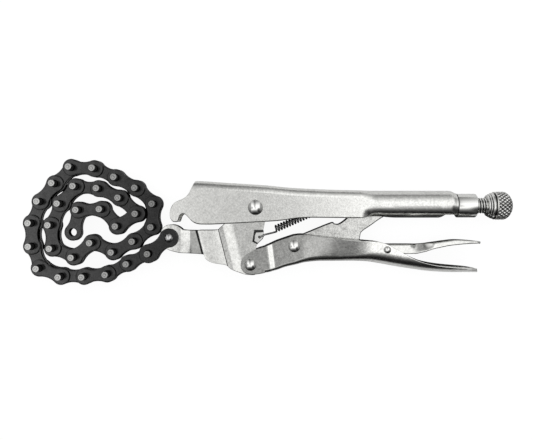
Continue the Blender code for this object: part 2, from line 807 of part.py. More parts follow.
def build_lower_handle(jaw_pivot):
    pivot = make_pivot("lower_handle_pivot", handle_pivot, jaw_pivot)
    place_piece("lower_handle", lower_handle_mesh(), "nickel_steel", pivot, handle_pivot)
    head_low = ear_outer + gap
    rivet = rivet_mesh(handle_pivot, handle_rivet_shank, handle_rivet_head, head_low,
                       head_low + handle_rivet_dome, 14)
    place_piece("handle_rivet", rivet, "bright_steel", pivot, handle_pivot)
    head_low = handle_half + gap
    rivet = rivet_mesh(toggle_pivot, handle_rivet_shank, handle_rivet_head, head_low,
                       head_low + handle_rivet_dome, 14)
    place_piece("toggle_rivet", rivet, "bright_steel", pivot, toggle_pivot)
    rivet = rivet_mesh(release_pivot, release_rivet_shank, release_rivet_head, head_low,
                       head_low + release_rivet_dome, 12)
    place_piece("release_rivet", rivet, "bright_steel", pivot, release_pivot)
    toggle = make_pivot("toggle_pivot", toggle_pivot, pivot)
    place_piece("toggle_link", toggle_mesh(), "nickel_steel", toggle, toggle_pivot)
    release = make_pivot("release_pivot", release_pivot, pivot)
    place_piece("release_lever", release_mesh(), "nickel_steel", release, release_pivot)


# Spring

def spring_points():
    along = Vector((math.cos(math.radians(spring_angle)), math.sin(math.radians(spring_angle)), 0.0))
    side = Vector((-along.y, along.x, 0.0))
    up = Vector((0.0, 0.0, 1.0))
    start = Vector((spring_start_x, spring_start_y, 0.0))
    count = spring_curls * spring_points_a_curl
    curls = []
    for step in range(count + 1):
        turn = 2 * math.pi * step / spring_points_a_curl
        away = side * math.cos(turn) + up * math.sin(turn)
        curls.append(start + along * spring_pitch * step / spring_points_a_curl + away * spring_mean_radius)
    end = start + along * spring_pitch * spring_curls
    clear = spring_wire_radius + 2 * gap
    hole = jaw_points([block_hole_shares])[0]
    over = spring_block_half + clear
    lead = 2 * spring_mean_radius
    front = [
        Vector((hole.x, hole.y, spring_block_half / 2)), Vector((hole.x, hole.y, over - spring_wire_radius)),
        Vector((hole.x, hole.y, over)) + (along + up * 0.6) * spring_wire_radius,
        start - along * lead * 1.25 + up * over * 0.72,
        start - along * lead * 0.75 + side * spring_mean_radius * 0.35 + up * spring_mean_radius * 0.4,
    ]
    under = spring_post_foot - clear
    behind = spring_post_x + spring_post_thickness + clear
    back = [
        end + along * lead * 0.45 + side * spring_mean_radius * 0.3,
        Vector((spring_post_x + spring_post_thickness / 2, under - spring_wire_radius, 0.0)),
        Vector((behind + spring_wire_radius / 2, under, 0.0)),
        Vector((behind + spring_wire_radius, under + 3 * spring_mean_radius / 4, 0.0)),
    ]
    return front + curls + back


def least_self_gap(points):
    # Centre-line distance less the wire, between points more than three quarters of a curl apart
    apart = int(spring_points_a_curl * 3 / 4)
    least = math.inf
    for first in range(len(points)):
        for second in range(first + apart, len(points)):
            least = min(least, (points[first] - points[second]).length)
    return least - 2 * spring_wire_radius


def build_spring(root):
    points = spring_points()
    curve = bpy.data.curves.new("tension_spring", "CURVE")
    curve.dimensions = "3D"
    curve.bevel_depth = spring_wire_radius
    curve.bevel_resolution = 1
    curve.use_fill_caps = True
    spline = curve.splines.new("POLY")
    spline.points.add(len(points) - 1)
    for point, place in zip(spline.points, points):
        point.co = (*place, 1.0)
    spring = add_object("tension_spring", curve, parts, materials["spring_steel"])
    spring.parent = root
    print(f"least gap of the spring to itself: {least_self_gap(points) * 1000:.2f} mm")


clear_scene()
pivot_place = {}
parts = new_collection("chain_clamp")
cutters = new_collection("cutters", hidden=True)
materials = make_materials()
upper_root = make_pivot("upper_handle_root", Vector((0.0, 0.0)), None)
build_upper_body(upper_root)
build_screw(upper_root)
jaw = build_jaw(upper_root)
build_lower_handle(jaw)
build_chain(jaw)
build_spring(upper_root)
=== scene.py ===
import functools
import math

import bmesh
import bpy
from mathutils import Matrix, Vector


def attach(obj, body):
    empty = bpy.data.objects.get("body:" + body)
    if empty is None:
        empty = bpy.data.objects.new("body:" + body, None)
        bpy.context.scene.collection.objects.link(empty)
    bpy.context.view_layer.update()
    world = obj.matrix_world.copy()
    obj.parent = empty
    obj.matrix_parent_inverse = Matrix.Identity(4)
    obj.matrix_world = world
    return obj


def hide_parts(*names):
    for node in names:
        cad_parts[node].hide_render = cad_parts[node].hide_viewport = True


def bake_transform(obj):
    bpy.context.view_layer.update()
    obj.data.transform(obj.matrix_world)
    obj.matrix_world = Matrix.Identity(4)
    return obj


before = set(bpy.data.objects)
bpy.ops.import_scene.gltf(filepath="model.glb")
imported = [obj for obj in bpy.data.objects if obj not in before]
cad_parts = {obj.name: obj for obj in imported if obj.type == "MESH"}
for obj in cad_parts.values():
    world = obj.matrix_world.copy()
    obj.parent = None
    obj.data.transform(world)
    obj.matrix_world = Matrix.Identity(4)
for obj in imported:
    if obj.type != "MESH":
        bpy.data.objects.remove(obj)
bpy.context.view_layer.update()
midHeight = 11.2  # millimetres from the bench to the clamp's middle plane
mm = 0.001  # metres; pieces are drawn in millimetres about that plane
flatNormal = 0.9996  # faces more level than this are shaded flat

print("stage: frame loaded")


# Drawing tools: curves, rings and meshes


def smoothStep(value, low, high):
    share = min(max((value - low) / (high - low), 0.0), 1.0)
    return share * share * (3 - 2 * share)


def mixed(first, second, share):
    return first + (second - first) * share


def slopesOf(table):
    # Slope at each point, held back where the table turns, so that no bump appears between points
    steps = [(b[1] - a[1]) / (b[0] - a[0]) for a, b in zip(table, table[1:])]
    slopes = [steps[0]]
    for before, after in zip(steps, steps[1:]):
        slopes.append(0.0 if before * after <= 0 else 2 * before * after / (before + after))
    return slopes + [steps[-1]]


def heightAt(table, x):
    # Smooth curve through a table of (x, value), level beyond its ends
    if x <= table[0][0]:
        return table[0][1]
    if x >= table[-1][0]:
        return table[-1][1]
    slopes = slopesOf(table)
    i = next(k for k in range(len(table) - 1) if x <= table[k + 1][0])
    (x0, y0), (x1, y1) = table[i], table[i + 1]
    wide = x1 - x0
    t = (x - x0) / wide
    return (y0 * (1 + 2 * t) * (1 - t) ** 2 + wide * slopes[i] * t * (1 - t) ** 2
            + y1 * t * t * (3 - 2 * t) + wide * slopes[i + 1] * t * t * (t - 1))


def evenly(low, high, count):
    return [low + (high - low) * i / (count - 1) for i in range(count)]


def stretches(spans):
    # Places along X, for spans of (low, high, count)
    return [x for span in spans for x in evenly(*span)]


def arcPoints(center, radius, start, end, count):
    angles = [math.radians(a) for a in evenly(start, end, count)]
    return [(center[0] + radius * math.cos(a), center[1] + radius * math.sin(a)) for a in angles]


def circle(center, radius, count=28):
    return arcPoints(center, radius, 0, 360 - 360 / count, count)


def keptApart(low, top, least):
    # Two edges, moved apart about their middle where they come too close
    if top - low >= least:
        return low, top
    return (top + low) / 2 - least / 2, (top + low) / 2 + least / 2


def wallPath(low, top, inset, z, side):
    # Outer side of a flat wall, with places just inside its rounded edges
    return [((y, z), (0.0, float(side))) for y in (low, low + inset, top - inset, top)]


def bothSides(half):
    # Outer side from the near lip to the middle, and on to the far lip as its twin
    points = [(tuple(p), tuple(n)) for p, n in half]
    return points + [((p[0], -p[1]), (n[0], -n[1])) for p, n in reversed(points[:-1])]


def joinRings(bm, rings, capEnds=True, slot=0, slotFor=None):
    # Closed rings bridged to a skin; slotFor gives the material of each quad by ring and place
    loops = [[bm.verts.new(p) for p in ring] for ring in rings]
    count = len(rings[0])
    for k, (near, far) in enumerate(zip(loops, loops[1:])):
        for i in range(count):
            j = (i + 1) % count
            face = bm.faces.new((near[i], near[j], far[j], far[i]))
            face.material_index = slotFor(k, i) if slotFor else slot
    if capEnds:
        for loop in (loops[0], loops[-1]):
            face = bm.faces.new(loop)
            face.material_index = slot


def paintedShadeInside(path):
    # Painted shade: the second, near-black material on a sheet's inner side and half of its cut edges
    low, high = len(path) + 3, 2 * len(path) + 8
    return lambda k, i: 1 if low <= i <= high else 0


def sheetRing(x, path, thickness, edge, shift=None):
    # Closed section of a bent sheet: outer side, rounded end, inner side, rounded end
    points = [Vector(p) for p, n in path]
    normals = [Vector(n) for p, n in path]
    first = (points[0] - points[1]).normalized()
    last = (points[-1] - points[-2]).normalized()
    points[0] = points[0] - first * edge
    points[-1] = points[-1] - last * edge
    ring = list(points)
    steps = 3
    for center, start, turn in ((points[-1] - normals[-1] * edge, normals[-1], last),
                                (points[-1] - normals[-1] * (thickness - edge), last, -normals[-1])):
        for i in range(1 if start == normals[-1] else 0, steps + 1):
            angle = math.pi / 2 * i / steps
            ring.append(center + (start * math.cos(angle) + turn * math.sin(angle)) * edge)
    inner = [p - n * thickness for p, n in zip(points, normals)]
    ring += list(reversed(inner))[1:]
    for center, start, turn in ((points[0] - normals[0] * (thickness - edge), -normals[0], first),
                                (points[0] - normals[0] * edge, first, normals[0])):
        for i in range(1 if start == -normals[0] else 0, steps + 1):
            if start == first and i == steps:
                continue
            angle = math.pi / 2 * i / steps
            ring.append(center + (start * math.cos(angle) + turn * math.sin(angle)) * edge)
    return [Vector((x + (shift(p) if shift else 0.0), p.x, p.y)) for p in ring]


def ringRound(center, radius, height, around):
    # Level circle about an upright axis
    angles = [2 * math.pi * i / around for i in range(around)]
    x, y = center
    return [Vector((x + radius * math.cos(a), y + radius * math.sin(a), height)) for a in angles]


def turned(bm, profile, center, around, slot=0):
    # Profile of (radius, height) turned about an upright axis
    joinRings(bm, [ringRound(center, radius, height, around) for radius, height in profile], slot=slot)


def sewn(bm, rings):
    # Skin whose last ring lies on its first
    joinRings(bm, rings, capEnds=False)
    bmesh.ops.remove_doubles(bm, verts=bm.verts, dist=0.0001)


def insetLoop(points, inset):
    # Outline moved inwards along the average of its two sides' normals; the outline runs anticlockwise
    moved = []
    for i, point in enumerate(points):
        before, here, after = Vector(points[i - 1]), Vector(point), Vector(points[(i + 1) % len(points)])
        one, two = (here - before).normalized(), (after - here).normalized()
        normal = Vector((-(one.y + two.y), one.x + two.x))
        size = max(normal.length, 1.2)  # sharp corners move no further than this allows
        moved.append(here + normal.normalized() * inset * 2 / size)
    return moved


def anticlockwise(points):
    area = sum(a[0] * b[1] - b[0] * a[1] for a, b in zip(points, points[1:] + points[:1]))
    return list(points) if area > 0 else list(reversed(points))


def plate(bm, outline, holes, low, high, edge, slot=0, rimSlot=None, crown=(0.0, 0.0)):
    # Flat plate with rounded edges and holes; its faces may fall a little towards the outline
    steps = 3
    loops = [(anticlockwise(outline), 1)] + [(anticlockwise(h), -1) for h in holes]
    rims = {"low": [], "high": []}
    for points, sign in loops:
        wide, fall = crown if sign > 0 else (0.0, 0.0)
        sections = [(edge + wide, low)] if wide else []
        for i in range(steps + 1):
            angle = math.pi / 2 * i / steps
            sections.append((edge * (1 - math.sin(angle)), low + fall + edge * (1 - math.cos(angle))))
        for i in range(steps + 1):
            angle = math.pi / 2 * (1 - i / steps)
            sections.append((edge * (1 - math.sin(angle)), high - fall - edge * (1 - math.cos(angle))))
        sections += [(edge + wide, high)] if wide else []
        rings = []
        for inset, height in sections:
            ring = insetLoop(points, inset * sign)
            rings.append([bm.verts.new((p.x, p.y, height)) for p in ring])
        for near, far in zip(rings, rings[1:]):
            for i in range(len(near)):
                j = (i + 1) % len(near)
                face = bm.faces.new((near[i], near[j], far[j], far[i]))
                face.material_index = rimSlot(near[i].co) if rimSlot else slot
        for key, ring in (("low", rings[0]), ("high", rings[-1])):
            for i in range(len(ring)):
                rims[key].append(bm.edges.get((ring[i], ring[(i + 1) % len(ring)])))
    for key in ("low", "high"):
        made = bmesh.ops.triangle_fill(bm, edges=rims[key], use_beauty=True, use_dissolve=False)
        for item in made["geom"]:
            if isinstance(item, bmesh.types.BMFace):
                item.material_index = slot


def curveThrough(points, perSpan):
    # Smooth open curve through a few points, whose end spans bend as if the last point met the first
    count = len(points)
    made = []
    for i in range(count - 1):
        p0, p1, p2, p3 = (Vector(points[(i + k) % count]) for k in (-1, 0, 1, 2))
        for s in range(perSpan):
            t = s / perSpan
            made.append(0.5 * ((2 * p1) + (p2 - p0) * t + (2 * p0 - 5 * p1 + 4 * p2 - p3) * t * t
                               + (3 * p1 - p0 - 3 * p2 + p3) * t ** 3))
    return [tuple(p) for p in made] + [points[-1]]


def tube(bm, points, radius, around):
    # Round wire along points, turned as little as possible from one to the next
    rings = []
    side = (points[1] - points[0]).normalized().orthogonal().normalized()
    for i, here in enumerate(points):
        ahead = (points[min(i + 1, len(points) - 1)] - points[max(i - 1, 0)]).normalized()
        side = (side - ahead * side.dot(ahead)).normalized()
        up = ahead.cross(side)
        angles = [2 * math.pi * k / around for k in range(around)]
        rings.append([here + (side * math.cos(a) + up * math.sin(a)) * radius for a in angles])
    joinRings(bm, rings)


def finishPiece(name, bm, metalNames, body, nodes, sharp=38.0):
    # The drawn mesh becomes an object in metres; edges sharper than the angle stay crisp
    bmesh.ops.recalc_face_normals(bm, faces=bm.faces)
    for face in bm.faces:
        face.smooth = abs(face.normal.z) < flatNormal
    for edge in bm.edges:
        if len(edge.link_faces) == 2 and edge.calc_face_angle(0.0) > math.radians(sharp):
            edge.smooth = False
    bm.transform(Matrix.Scale(mm, 4) @ Matrix.Translation((0, 0, midHeight)))
    mesh = bpy.data.meshes.new(name)
    bm.to_mesh(mesh)
    bm.free()
    for metal in metalNames:
        mesh.materials.append(metals[metal])
    piece = bpy.data.objects.new(name, mesh)
    bpy.context.scene.collection.objects.link(piece)
    if body:
        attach(piece, body)
    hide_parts(*nodes)
    return piece


# Materials


def mathNode(tree, kind, *values):
    node = tree.nodes.new("ShaderNodeMath")
    node.operation = kind
    for socket, value in zip(node.inputs, values):
        if isinstance(value, (int, float)):
            socket.default_value = value
        else:
            tree.links.new(value, socket)
    return node.outputs[0]


def rampNode(tree, value, stops, scale=1.0):
    # Levels by place from the first stop to the last, for a value that runs from 0 to 1 between them
    node = tree.nodes.new("ShaderNodeValToRGB")
    ramp = node.color_ramp
    ramp.interpolation = "EASE"
    while len(ramp.elements) < len(stops):
        ramp.elements.new(0.5)
    first, last = stops[0][0], stops[-1][0]
    for element, (at, level) in zip(ramp.elements, stops):
        element.position = (at - first) / (last - first)
        element.color = (level * scale, level * scale, level * scale, 1)
    tree.links.new(value, node.inputs[0])
    return node.outputs[0]


def buildGrainGroup():
    # Blasted or oiled metal: fine grain, broad clouds, a painted shade that darkens the tone along X, and a
    # height for the bump
    group = bpy.data.node_groups.new("metalGrain", "ShaderNodeTree")
    for label, value in (("Grain Scale", 1500.0), ("Cloud Scale", 90.0), ("Painted Shade Start", 0.0),
    ("Painted Shade End", 0.01),
                         ("Painted Shade Tone", 1.0), ("Contrast", 0.2), ("Roughness", 0.3), ("Roughness Spread", 0.08)):
        socket = group.interface.new_socket(label, in_out="INPUT", socket_type="NodeSocketFloat")
        socket.default_value = value
    for label in ("Tone", "Roughness", "Height"):
        group.interface.new_socket(label, in_out="OUTPUT", socket_type="NodeSocketFloat")
    nodes, links = group.nodes, group.links
    calc = functools.partial(mathNode, group)
    enter, leave = nodes.new("NodeGroupInput"), nodes.new("NodeGroupOutput")
    place = nodes.new("ShaderNodeTexCoord")
    noises = []
    for label, detail, rough in (("Grain Scale", 3.0, 0.65), ("Cloud Scale", 4.0, 0.5)):
        noise = nodes.new("ShaderNodeTexNoise")
        noise.inputs["Detail"].default_value = detail
        noise.inputs["Roughness"].default_value = rough
        links.new(place.outputs["Object"], noise.inputs["Vector"])
        links.new(enter.outputs[label], noise.inputs["Scale"])
        noises.append(noise.outputs["Fac"])
    grain, cloud = noises
    centred = calc("SUBTRACT", calc("ADD", calc("MULTIPLY", grain, 0.7), calc("MULTIPLY", cloud, 0.3)), 0.5)
    split = nodes.new("ShaderNodeSeparateXYZ")
    links.new(place.outputs["Object"], split.inputs[0])
    # Painted shade: the tone falls from 1 to the set tone between two places along X
    fade = nodes.new("ShaderNodeMapRange")
    fade.inputs["To Min"].default_value = 1.0
    links.new(split.outputs["X"], fade.inputs["Value"])
    for source, target in (("Painted Shade Start", "From Min"), ("Painted Shade End", "From Max"), ("Painted Shade Tone", "To Max")):
        links.new(enter.outputs[source], fade.inputs[target])
    tone = calc("ADD", 1.0, calc("MULTIPLY", centred, enter.outputs["Contrast"]))
    rough = calc("ADD", enter.outputs["Roughness"], calc("MULTIPLY", centred, enter.outputs["Roughness Spread"]))
    links.new(calc("MULTIPLY", tone, fade.outputs["Result"]), leave.inputs["Tone"])
    links.new(rough, leave.inputs["Roughness"])
    links.new(grain, leave.inputs["Height"])
    return group


grainGroup = buildGrainGroup()

# The metals: each has a tint and its changes to the plain blasted look
plainLook = {"Grain Scale": 800.0, "Cloud Scale": 260.0, "Contrast": 1.0, "Roughness": 0.17,
             "Roughness Spread": 0.15, "bump": 0.35}
looks = {
    "blastedNickel": {"tint": (0.78, 0.78, 0.7566)},
    "jawNickel": {"tint": (0.67, 0.67, 0.6499), "Contrast": 1.5},
    "toggleNickel": {"tint": (0.60, 0.60, 0.582), "Contrast": 2.4, "Grain Scale": 1100.0},
    # Painted shade: the lower handle's nickel darkens to 0.44 of its tone towards the front, from X 78 mm to 50
    # mm
    "nickelPaintedShadeFront": {"tint": (0.92, 0.92, 0.8924), "Contrast": 1.6,
                   "Painted Shade Start": 0.078, "Painted Shade End": 0.050, "Painted Shade Tone": 0.44},
    # lugShade and shadedNickel are painted shade: a darker nickel for the lug's slope and a near-black one for
    # grooves, gaps, hollows and inner sides
    "lugShade": {"tint": (0.34, 0.34, 0.3298), "Contrast": 1.6},
    "shadedNickel": {"tint": (0.07, 0.07, 0.07), "Contrast": 0.5, "Grain Scale": 1500.0,
                     "Roughness": 0.45, "Roughness Spread": 0.1, "bump": 0.2},
    "smoothNickel": {"tint": (0.84, 0.84, 0.82), "Contrast": 0.15, "Grain Scale": 900.0, "Cloud Scale": 120.0,
                     "Roughness": 0.16, "Roughness Spread": 0.08, "bump": 0.06},
    "polishedRivet": {"tint": (0.84, 0.84, 0.82), "Contrast": 0.1, "Grain Scale": 1200.0, "Cloud Scale": 300.0,
                      "Roughness": 0.10, "Roughness Spread": 0.06, "bump": 0.04},
    # The chain's black oxide is its own colour; its tone falls to half towards the jaw along X as painted shade
    "blackOxide": {"tint": (0.070, 0.070, 0.070), "Contrast": 1.9, "Grain Scale": 1300.0,
                   "Roughness": 0.13, "Roughness Spread": 0.12,
                   "Painted Shade Start": -0.165, "Painted Shade End": -0.065, "Painted Shade Tone": 0.5},
    "blackRivet": {"tint": (0.55, 0.55, 0.55), "Contrast": 0.3, "Grain Scale": 900.0, "Cloud Scale": 300.0,
                   "Roughness": 0.12, "Roughness Spread": 0.1, "bump": 0.06},
    # The pins' worn ends are their own bright steel; their tone falls to 0.4 towards the jaw along X as painted
    # shade
    "pinEnd": {"tint": (0.60, 0.60, 0.59), "Contrast": 0.8, "Grain Scale": 2200.0, "Cloud Scale": 500.0,
               "Roughness": 0.22, "Roughness Spread": 0.2, "bump": 0.2,
               "Painted Shade Start": -0.165, "Painted Shade End": -0.065, "Painted Shade Tone": 0.4},
    # Pin sides near black, darker than the plates: partly the pins' own black oxide, partly painted shade beside
    # the pins
    "pinSideOxideAndShade": {"tint": (0.012, 0.012, 0.012), "Contrast": 0.4, "Grain Scale": 1500.0, "Cloud Scale": 300.0,
                "Roughness": 0.30, "Roughness Spread": 0.1, "bump": 0.08},
    "springWire": {"tint": (0.30, 0.30, 0.30), "Contrast": 0.3, "Grain Scale": 1500.0, "Cloud Scale": 300.0,
                   "Roughness": 0.24, "Roughness Spread": 0.1, "bump": 0.05},
}


def metalMaterial(name, look):
    material = bpy.data.materials.new(name)
    material.use_nodes = True
    nodes, links = material.node_tree.nodes, material.node_tree.links
    shader = nodes["Principled BSDF"]
    shader.inputs["Metallic"].default_value = 1.0
    grain = nodes.new("ShaderNodeGroup")
    grain.node_tree = grainGroup
    for label, value in look.items():
        if label in grain.inputs:
            grain.inputs[label].default_value = value
    tint = nodes.new("ShaderNodeMix")
    tint.data_type = "RGBA"
    tint.blend_type = "MULTIPLY"
    tint.inputs["Factor"].default_value = 1.0
    tint.inputs["A"].default_value = (*look["tint"], 1.0)
    links.new(grain.outputs["Tone"], tint.inputs["B"])
    links.new(tint.outputs["Result"], shader.inputs["Base Color"])
    links.new(grain.outputs["Roughness"], shader.inputs["Roughness"])
    bump = nodes.new("ShaderNodeBump")
    bump.inputs["Strength"].default_value = look["bump"]
    bump.inputs["Distance"].default_value = 0.0001
    links.new(grain.outputs["Height"], bump.inputs["Height"])
    links.new(bump.outputs["Normal"], shader.inputs["Normal"])
    return material


metals = {name: metalMaterial(name, {**plainLook, **look}) for name, look in looks.items()}
print("stage: materials made")


# Camera, floor, world

view = {"x": 6.77, "y": -2.94, "height": 424.6 + midHeight, "sensor": 36.0, "lens": 43.9,
        "shift": (0.5 / 533, -8.0 / 533), "clip": (0.01, 20.0)}


def buildCamera():
    lens = bpy.data.cameras.new("photoCamera")
    lens.sensor_width, lens.lens = view["sensor"], view["lens"]
    lens.shift_x, lens.shift_y = view["shift"]
    lens.clip_start, lens.clip_end = view["clip"]
    camera = bpy.data.objects.new("photoCamera", lens)
    camera.location = (view["x"] * mm, view["y"] * mm, view["height"] * mm)
    bpy.context.scene.collection.objects.link(camera)
    bpy.context.scene.camera = camera


# The bench's grey for reflections by place, in millimetres along Y:
# it is painted shade, darker between the handles and far in front
benchLook = {"half": 1.6, "below": 0.0002, "seenColor": 0.14, "glow": 0.93, "roughness": 0.9,
             "grey": [(-250, .05), (-130, .05), (-80, .6), (-48, .85), (-38, .7), (-28, .12), (-8, .05),
                      (2, .35),
                      (14, .85), (28, 1), (100, 1)]}


def buildFloor():
    # Pale bench: the camera sees it glow white with the object's shadow, reflections see its grey with its
    # painted shade
    bm = bmesh.new()
    bmesh.ops.create_grid(bm, x_segments=8, y_segments=8, size=benchLook["half"])
    mesh = bpy.data.meshes.new("benchTop")
    bm.to_mesh(mesh)
    bm.free()
    floor = bpy.data.objects.new("benchTop", mesh)
    floor.location = (0, 0, -benchLook["below"])
    bpy.context.scene.collection.objects.link(floor)
    material = bpy.data.materials.new("whiteBench")
    material.use_nodes = True
    tree = material.node_tree
    nodes, links = tree.nodes, tree.links
    shader = nodes["Principled BSDF"]
    shader.inputs["Roughness"].default_value = benchLook["roughness"]
    shader.inputs["Specular IOR Level"].default_value = 0.0
    shader.inputs["Emission Color"].default_value = (1, 1, 1, 1)
    path = nodes.new("ShaderNodeLightPath")
    glow = mathNode(tree, "MULTIPLY", path.outputs["Is Camera Ray"], benchLook["glow"])
    links.new(glow, shader.inputs["Emission Strength"])
    place = nodes.new("ShaderNodeTexCoord")
    split = nodes.new("ShaderNodeSeparateXYZ")
    links.new(place.outputs["Object"], split.inputs[0])
    span = nodes.new("ShaderNodeMapRange")
    span.inputs["From Min"].default_value = benchLook["grey"][0][0] * mm
    span.inputs["From Max"].default_value = benchLook["grey"][-1][0] * mm
    links.new(split.outputs["Y"], span.inputs["Value"])
    tint = nodes.new("ShaderNodeMix")
    tint.data_type = "RGBA"
    links.new(rampNode(tree, span.outputs["Result"], benchLook["grey"]), tint.inputs["A"])
    tint.inputs["B"].default_value = (*[benchLook["seenColor"]] * 3, 1.0)
    links.new(path.outputs["Is Camera Ray"], tint.inputs["Factor"])
    links.new(tint.outputs["Result"], shader.inputs["Base Color"])
    mesh.materials.append(material)


# Brightness of the studio by direction: a wide soft light round a greyer ceiling, dark towards the front.
# The patches are ellipses; their levels go by shares of the half axes, in degrees from the centre.
studio = {
    "light": {"center": (0, 0), "half": (50, 90), "levels": [(0, 1), (.88, 1), (1, .5), (1.12, 0), (2, 0)]},
    "ceiling": {"center": (-1.3, -3), "half": (6.0, 8.5),
                "levels": [(0, .78), (.8, .80), (1, .88), (1.3, 1.42), (2, 1.6)]},
    "stripe": {"center": (-8, 43), "half": (9, 38),
               "levels": [(0, .86), (.5, .82), (.8, .70), (1, .85), (1.25, 1.5), (2, 1.6)]},
    "flag": {"center": (-39, -4), "half": (8, 14), "levels": [(0, .60), (.7, .66), (1.25, 1.5), (2, 1.6)]},
    "shade": {"center": (40, -32), "half": (21, 25), "levels": [(0, .12), (.7, .2), (1, .8), (1.2, 1.5),
                                                                (2, 1.6)]},
    "depth": [(-90, .005), (-70, .01), (-60, .03), (-50, .09), (-41, .2), (-32, .42), (-24, .8), (-17, 1),
              (17, 1),
              (27, .86), (36, .76), (45, .6), (54, .46), (64, .34), (76, .24), (90, .2)],
    "room": [(-90, .01), (-44, .05), (-15, .3), (10, .45), (50, .35), (75, .2), (90, .2)],
}


def buildWorld():
    world = bpy.data.worlds.new("studioLight")
    bpy.context.scene.world = world
    world.use_nodes = True
    tree = world.node_tree
    nodes, links = tree.nodes, tree.links
    nodes.clear()
    calc = functools.partial(mathNode, tree)
    place = nodes.new("ShaderNodeTexCoord")
    split = nodes.new("ShaderNodeSeparateXYZ")
    links.new(place.outputs["Generated"], split.inputs[0])
    across, along = (calc("MULTIPLY", calc("ARCSINE", split.outputs[axis]), 180 / math.pi) for axis in "XY")

    def profile(value, stops):
        # The ramp holds half the level, because it can't hold more than 1
        low, high = stops[0][0], stops[-1][0]
        share = calc("MULTIPLY_ADD", value, 1 / (high - low), -low / (high - low))
        return calc("MULTIPLY", rampNode(tree, share, stops, scale=0.5), 2.0)

    def patch(shape):
        squares = []
        for value, center, half in zip((across, along), shape["center"], shape["half"]):
            share = calc("MULTIPLY_ADD", value, 1 / half, -center / half)
            squares.append(calc("POWER", calc("ABSOLUTE", share), 2.0))
        return profile(calc("SQRT", calc("ADD", *squares)), shape["levels"])

    inside = patch(studio["light"])
    level = patch(studio["ceiling"])
    for name in ("stripe", "flag", "shade"):
        level = calc("MINIMUM", level, patch(studio[name]))
    level = calc("MULTIPLY", level, profile(along, studio["depth"]))
    room = profile(along, studio["room"])
    light = calc("ADD", room, calc("MULTIPLY", inside, calc("SUBTRACT", level, room)))
    back = nodes.new("ShaderNodeBackground")
    links.new(light, back.inputs["Strength"])
    seen = nodes.new("ShaderNodeBackground")
    seen.inputs["Strength"].default_value = 1.0
    seen.inputs["Color"].default_value = (1, 1, 1, 1)
    path = nodes.new("ShaderNodeLightPath")
    mix = nodes.new("ShaderNodeMixShader")
    links.new(path.outputs["Is Camera Ray"], mix.inputs[0])
    links.new(back.outputs[0], mix.inputs[1])
    links.new(seen.outputs[0], mix.inputs[2])
    out = nodes.new("ShaderNodeOutputWorld")
    links.new(mix.outputs[0], out.inputs["Surface"])


buildCamera()
buildFloor()
buildWorld()
bpy.context.scene.view_settings.view_transform = "Standard"
print("stage: studio ready")


# Chain

chain = {
    "pitch": 15.0, "endRadius": 5.53, "waist": 3.9, "edge": 0.35, "crown": (0.5, 0.15), "around": 28,
    "innerLevels": (1.5, 2.9), "outerLevels": (3.2, 4.6), "pinRadius": 2.2, "pinReach": 11.19, "bore": 2.35,
    "bushing": 3.3, "anchor": (-55.9, -19.7), "anchorPitch": 16.6, "anchorRadius": 6.2, "anchorWaist": 4.1,
    "anchorLevels": (4.9, 6.3), "anchorHole": 2.6, "openHole": 2.5,
    "bends": [-142.5, -12.0, 1.5, -21.0, -6.0, -21.0, -49.5, -19.0, -22.5, -17.0, -6.5, -47.5, -20.0, -4.5,
              -15.0, -50.5, -49.5, -10.0, -51.0, 62.0, -61.0, -64.0, -26.5, -19.0, -53.0, -19.0, -19.0, -104.5,
              -80.0, 49.5, 72.5],
}


def linkLoop(pitch, radius, waist):
    half = pitch / 2
    hollow = (half * half + waist * waist - radius * radius) / (2 * (radius - waist))
    center = waist + hollow
    lean = math.degrees(math.atan2(center, half))  # of the line from an end's centre to the hollow's centre
    loop = arcPoints((half, 0), radius, lean - 180, 180 - lean, 31)
    loop += arcPoints((0, center), hollow, -lean, lean - 180, 13)[1:-1]
    loop += arcPoints((-half, 0), radius, lean, 360 - lean, 31)
    loop += arcPoints((0, -center), hollow, 180 - lean, lean, 13)[1:-1]
    return loop


def pinMesh(bm, center):
    # Long riveted pin: near-black sides, partly their own oxide and partly painted shade, worn ends with a
    # staked ring
    radius, reach = chain["pinRadius"], chain["pinReach"]
    body = [(radius, 0.0), (radius, reach - 0.35)]
    tip = [(radius, reach - 0.35), (radius - 0.10, reach - 0.12), (radius - 0.30, reach),
           (radius - 0.85, reach),
           (radius - 0.95, reach - 0.34), (0.95, reach - 0.34), (0.78, reach - 0.12), (0.02, reach - 0.05)]
    for slot, profile in ((1, body), (2, tip)):
        for side in (1, -1):
            turned(bm, [(r, a * side) for r, a in profile], center, chain["around"], slot=slot)


def placeAlong(bm, start, heading, pitch):
    turn = Matrix.Rotation(heading, 4, "Z")
    middle = Vector((start[0], start[1], 0)) + turn @ Vector((pitch / 2, 0, 0))
    bm.transform(Matrix.Translation(middle) @ turn)


def bushingMesh(bm, center, bore):
    # Rolled bushing between an inner link's two plates
    radius, high = chain["bushing"], chain["innerLevels"][0]
    profile = [(bore, -high), (radius - 0.1, -high), (radius, 0.1 - high), (radius, high - 0.1),
               (radius - 0.1, high), (bore, high), (bore, -high)]
    sewn(bm, [ringRound(center, r, a, chain["around"]) for r, a in profile])


def linkPlate(bm, loop, ends, bores, levels, side):
    low, high = sorted(side * level for level in levels)
    holes = [circle(end, bore) for end, bore in zip(ends, bores)]
    plate(bm, loop, holes, low, high, chain["edge"], crown=chain["crown"])


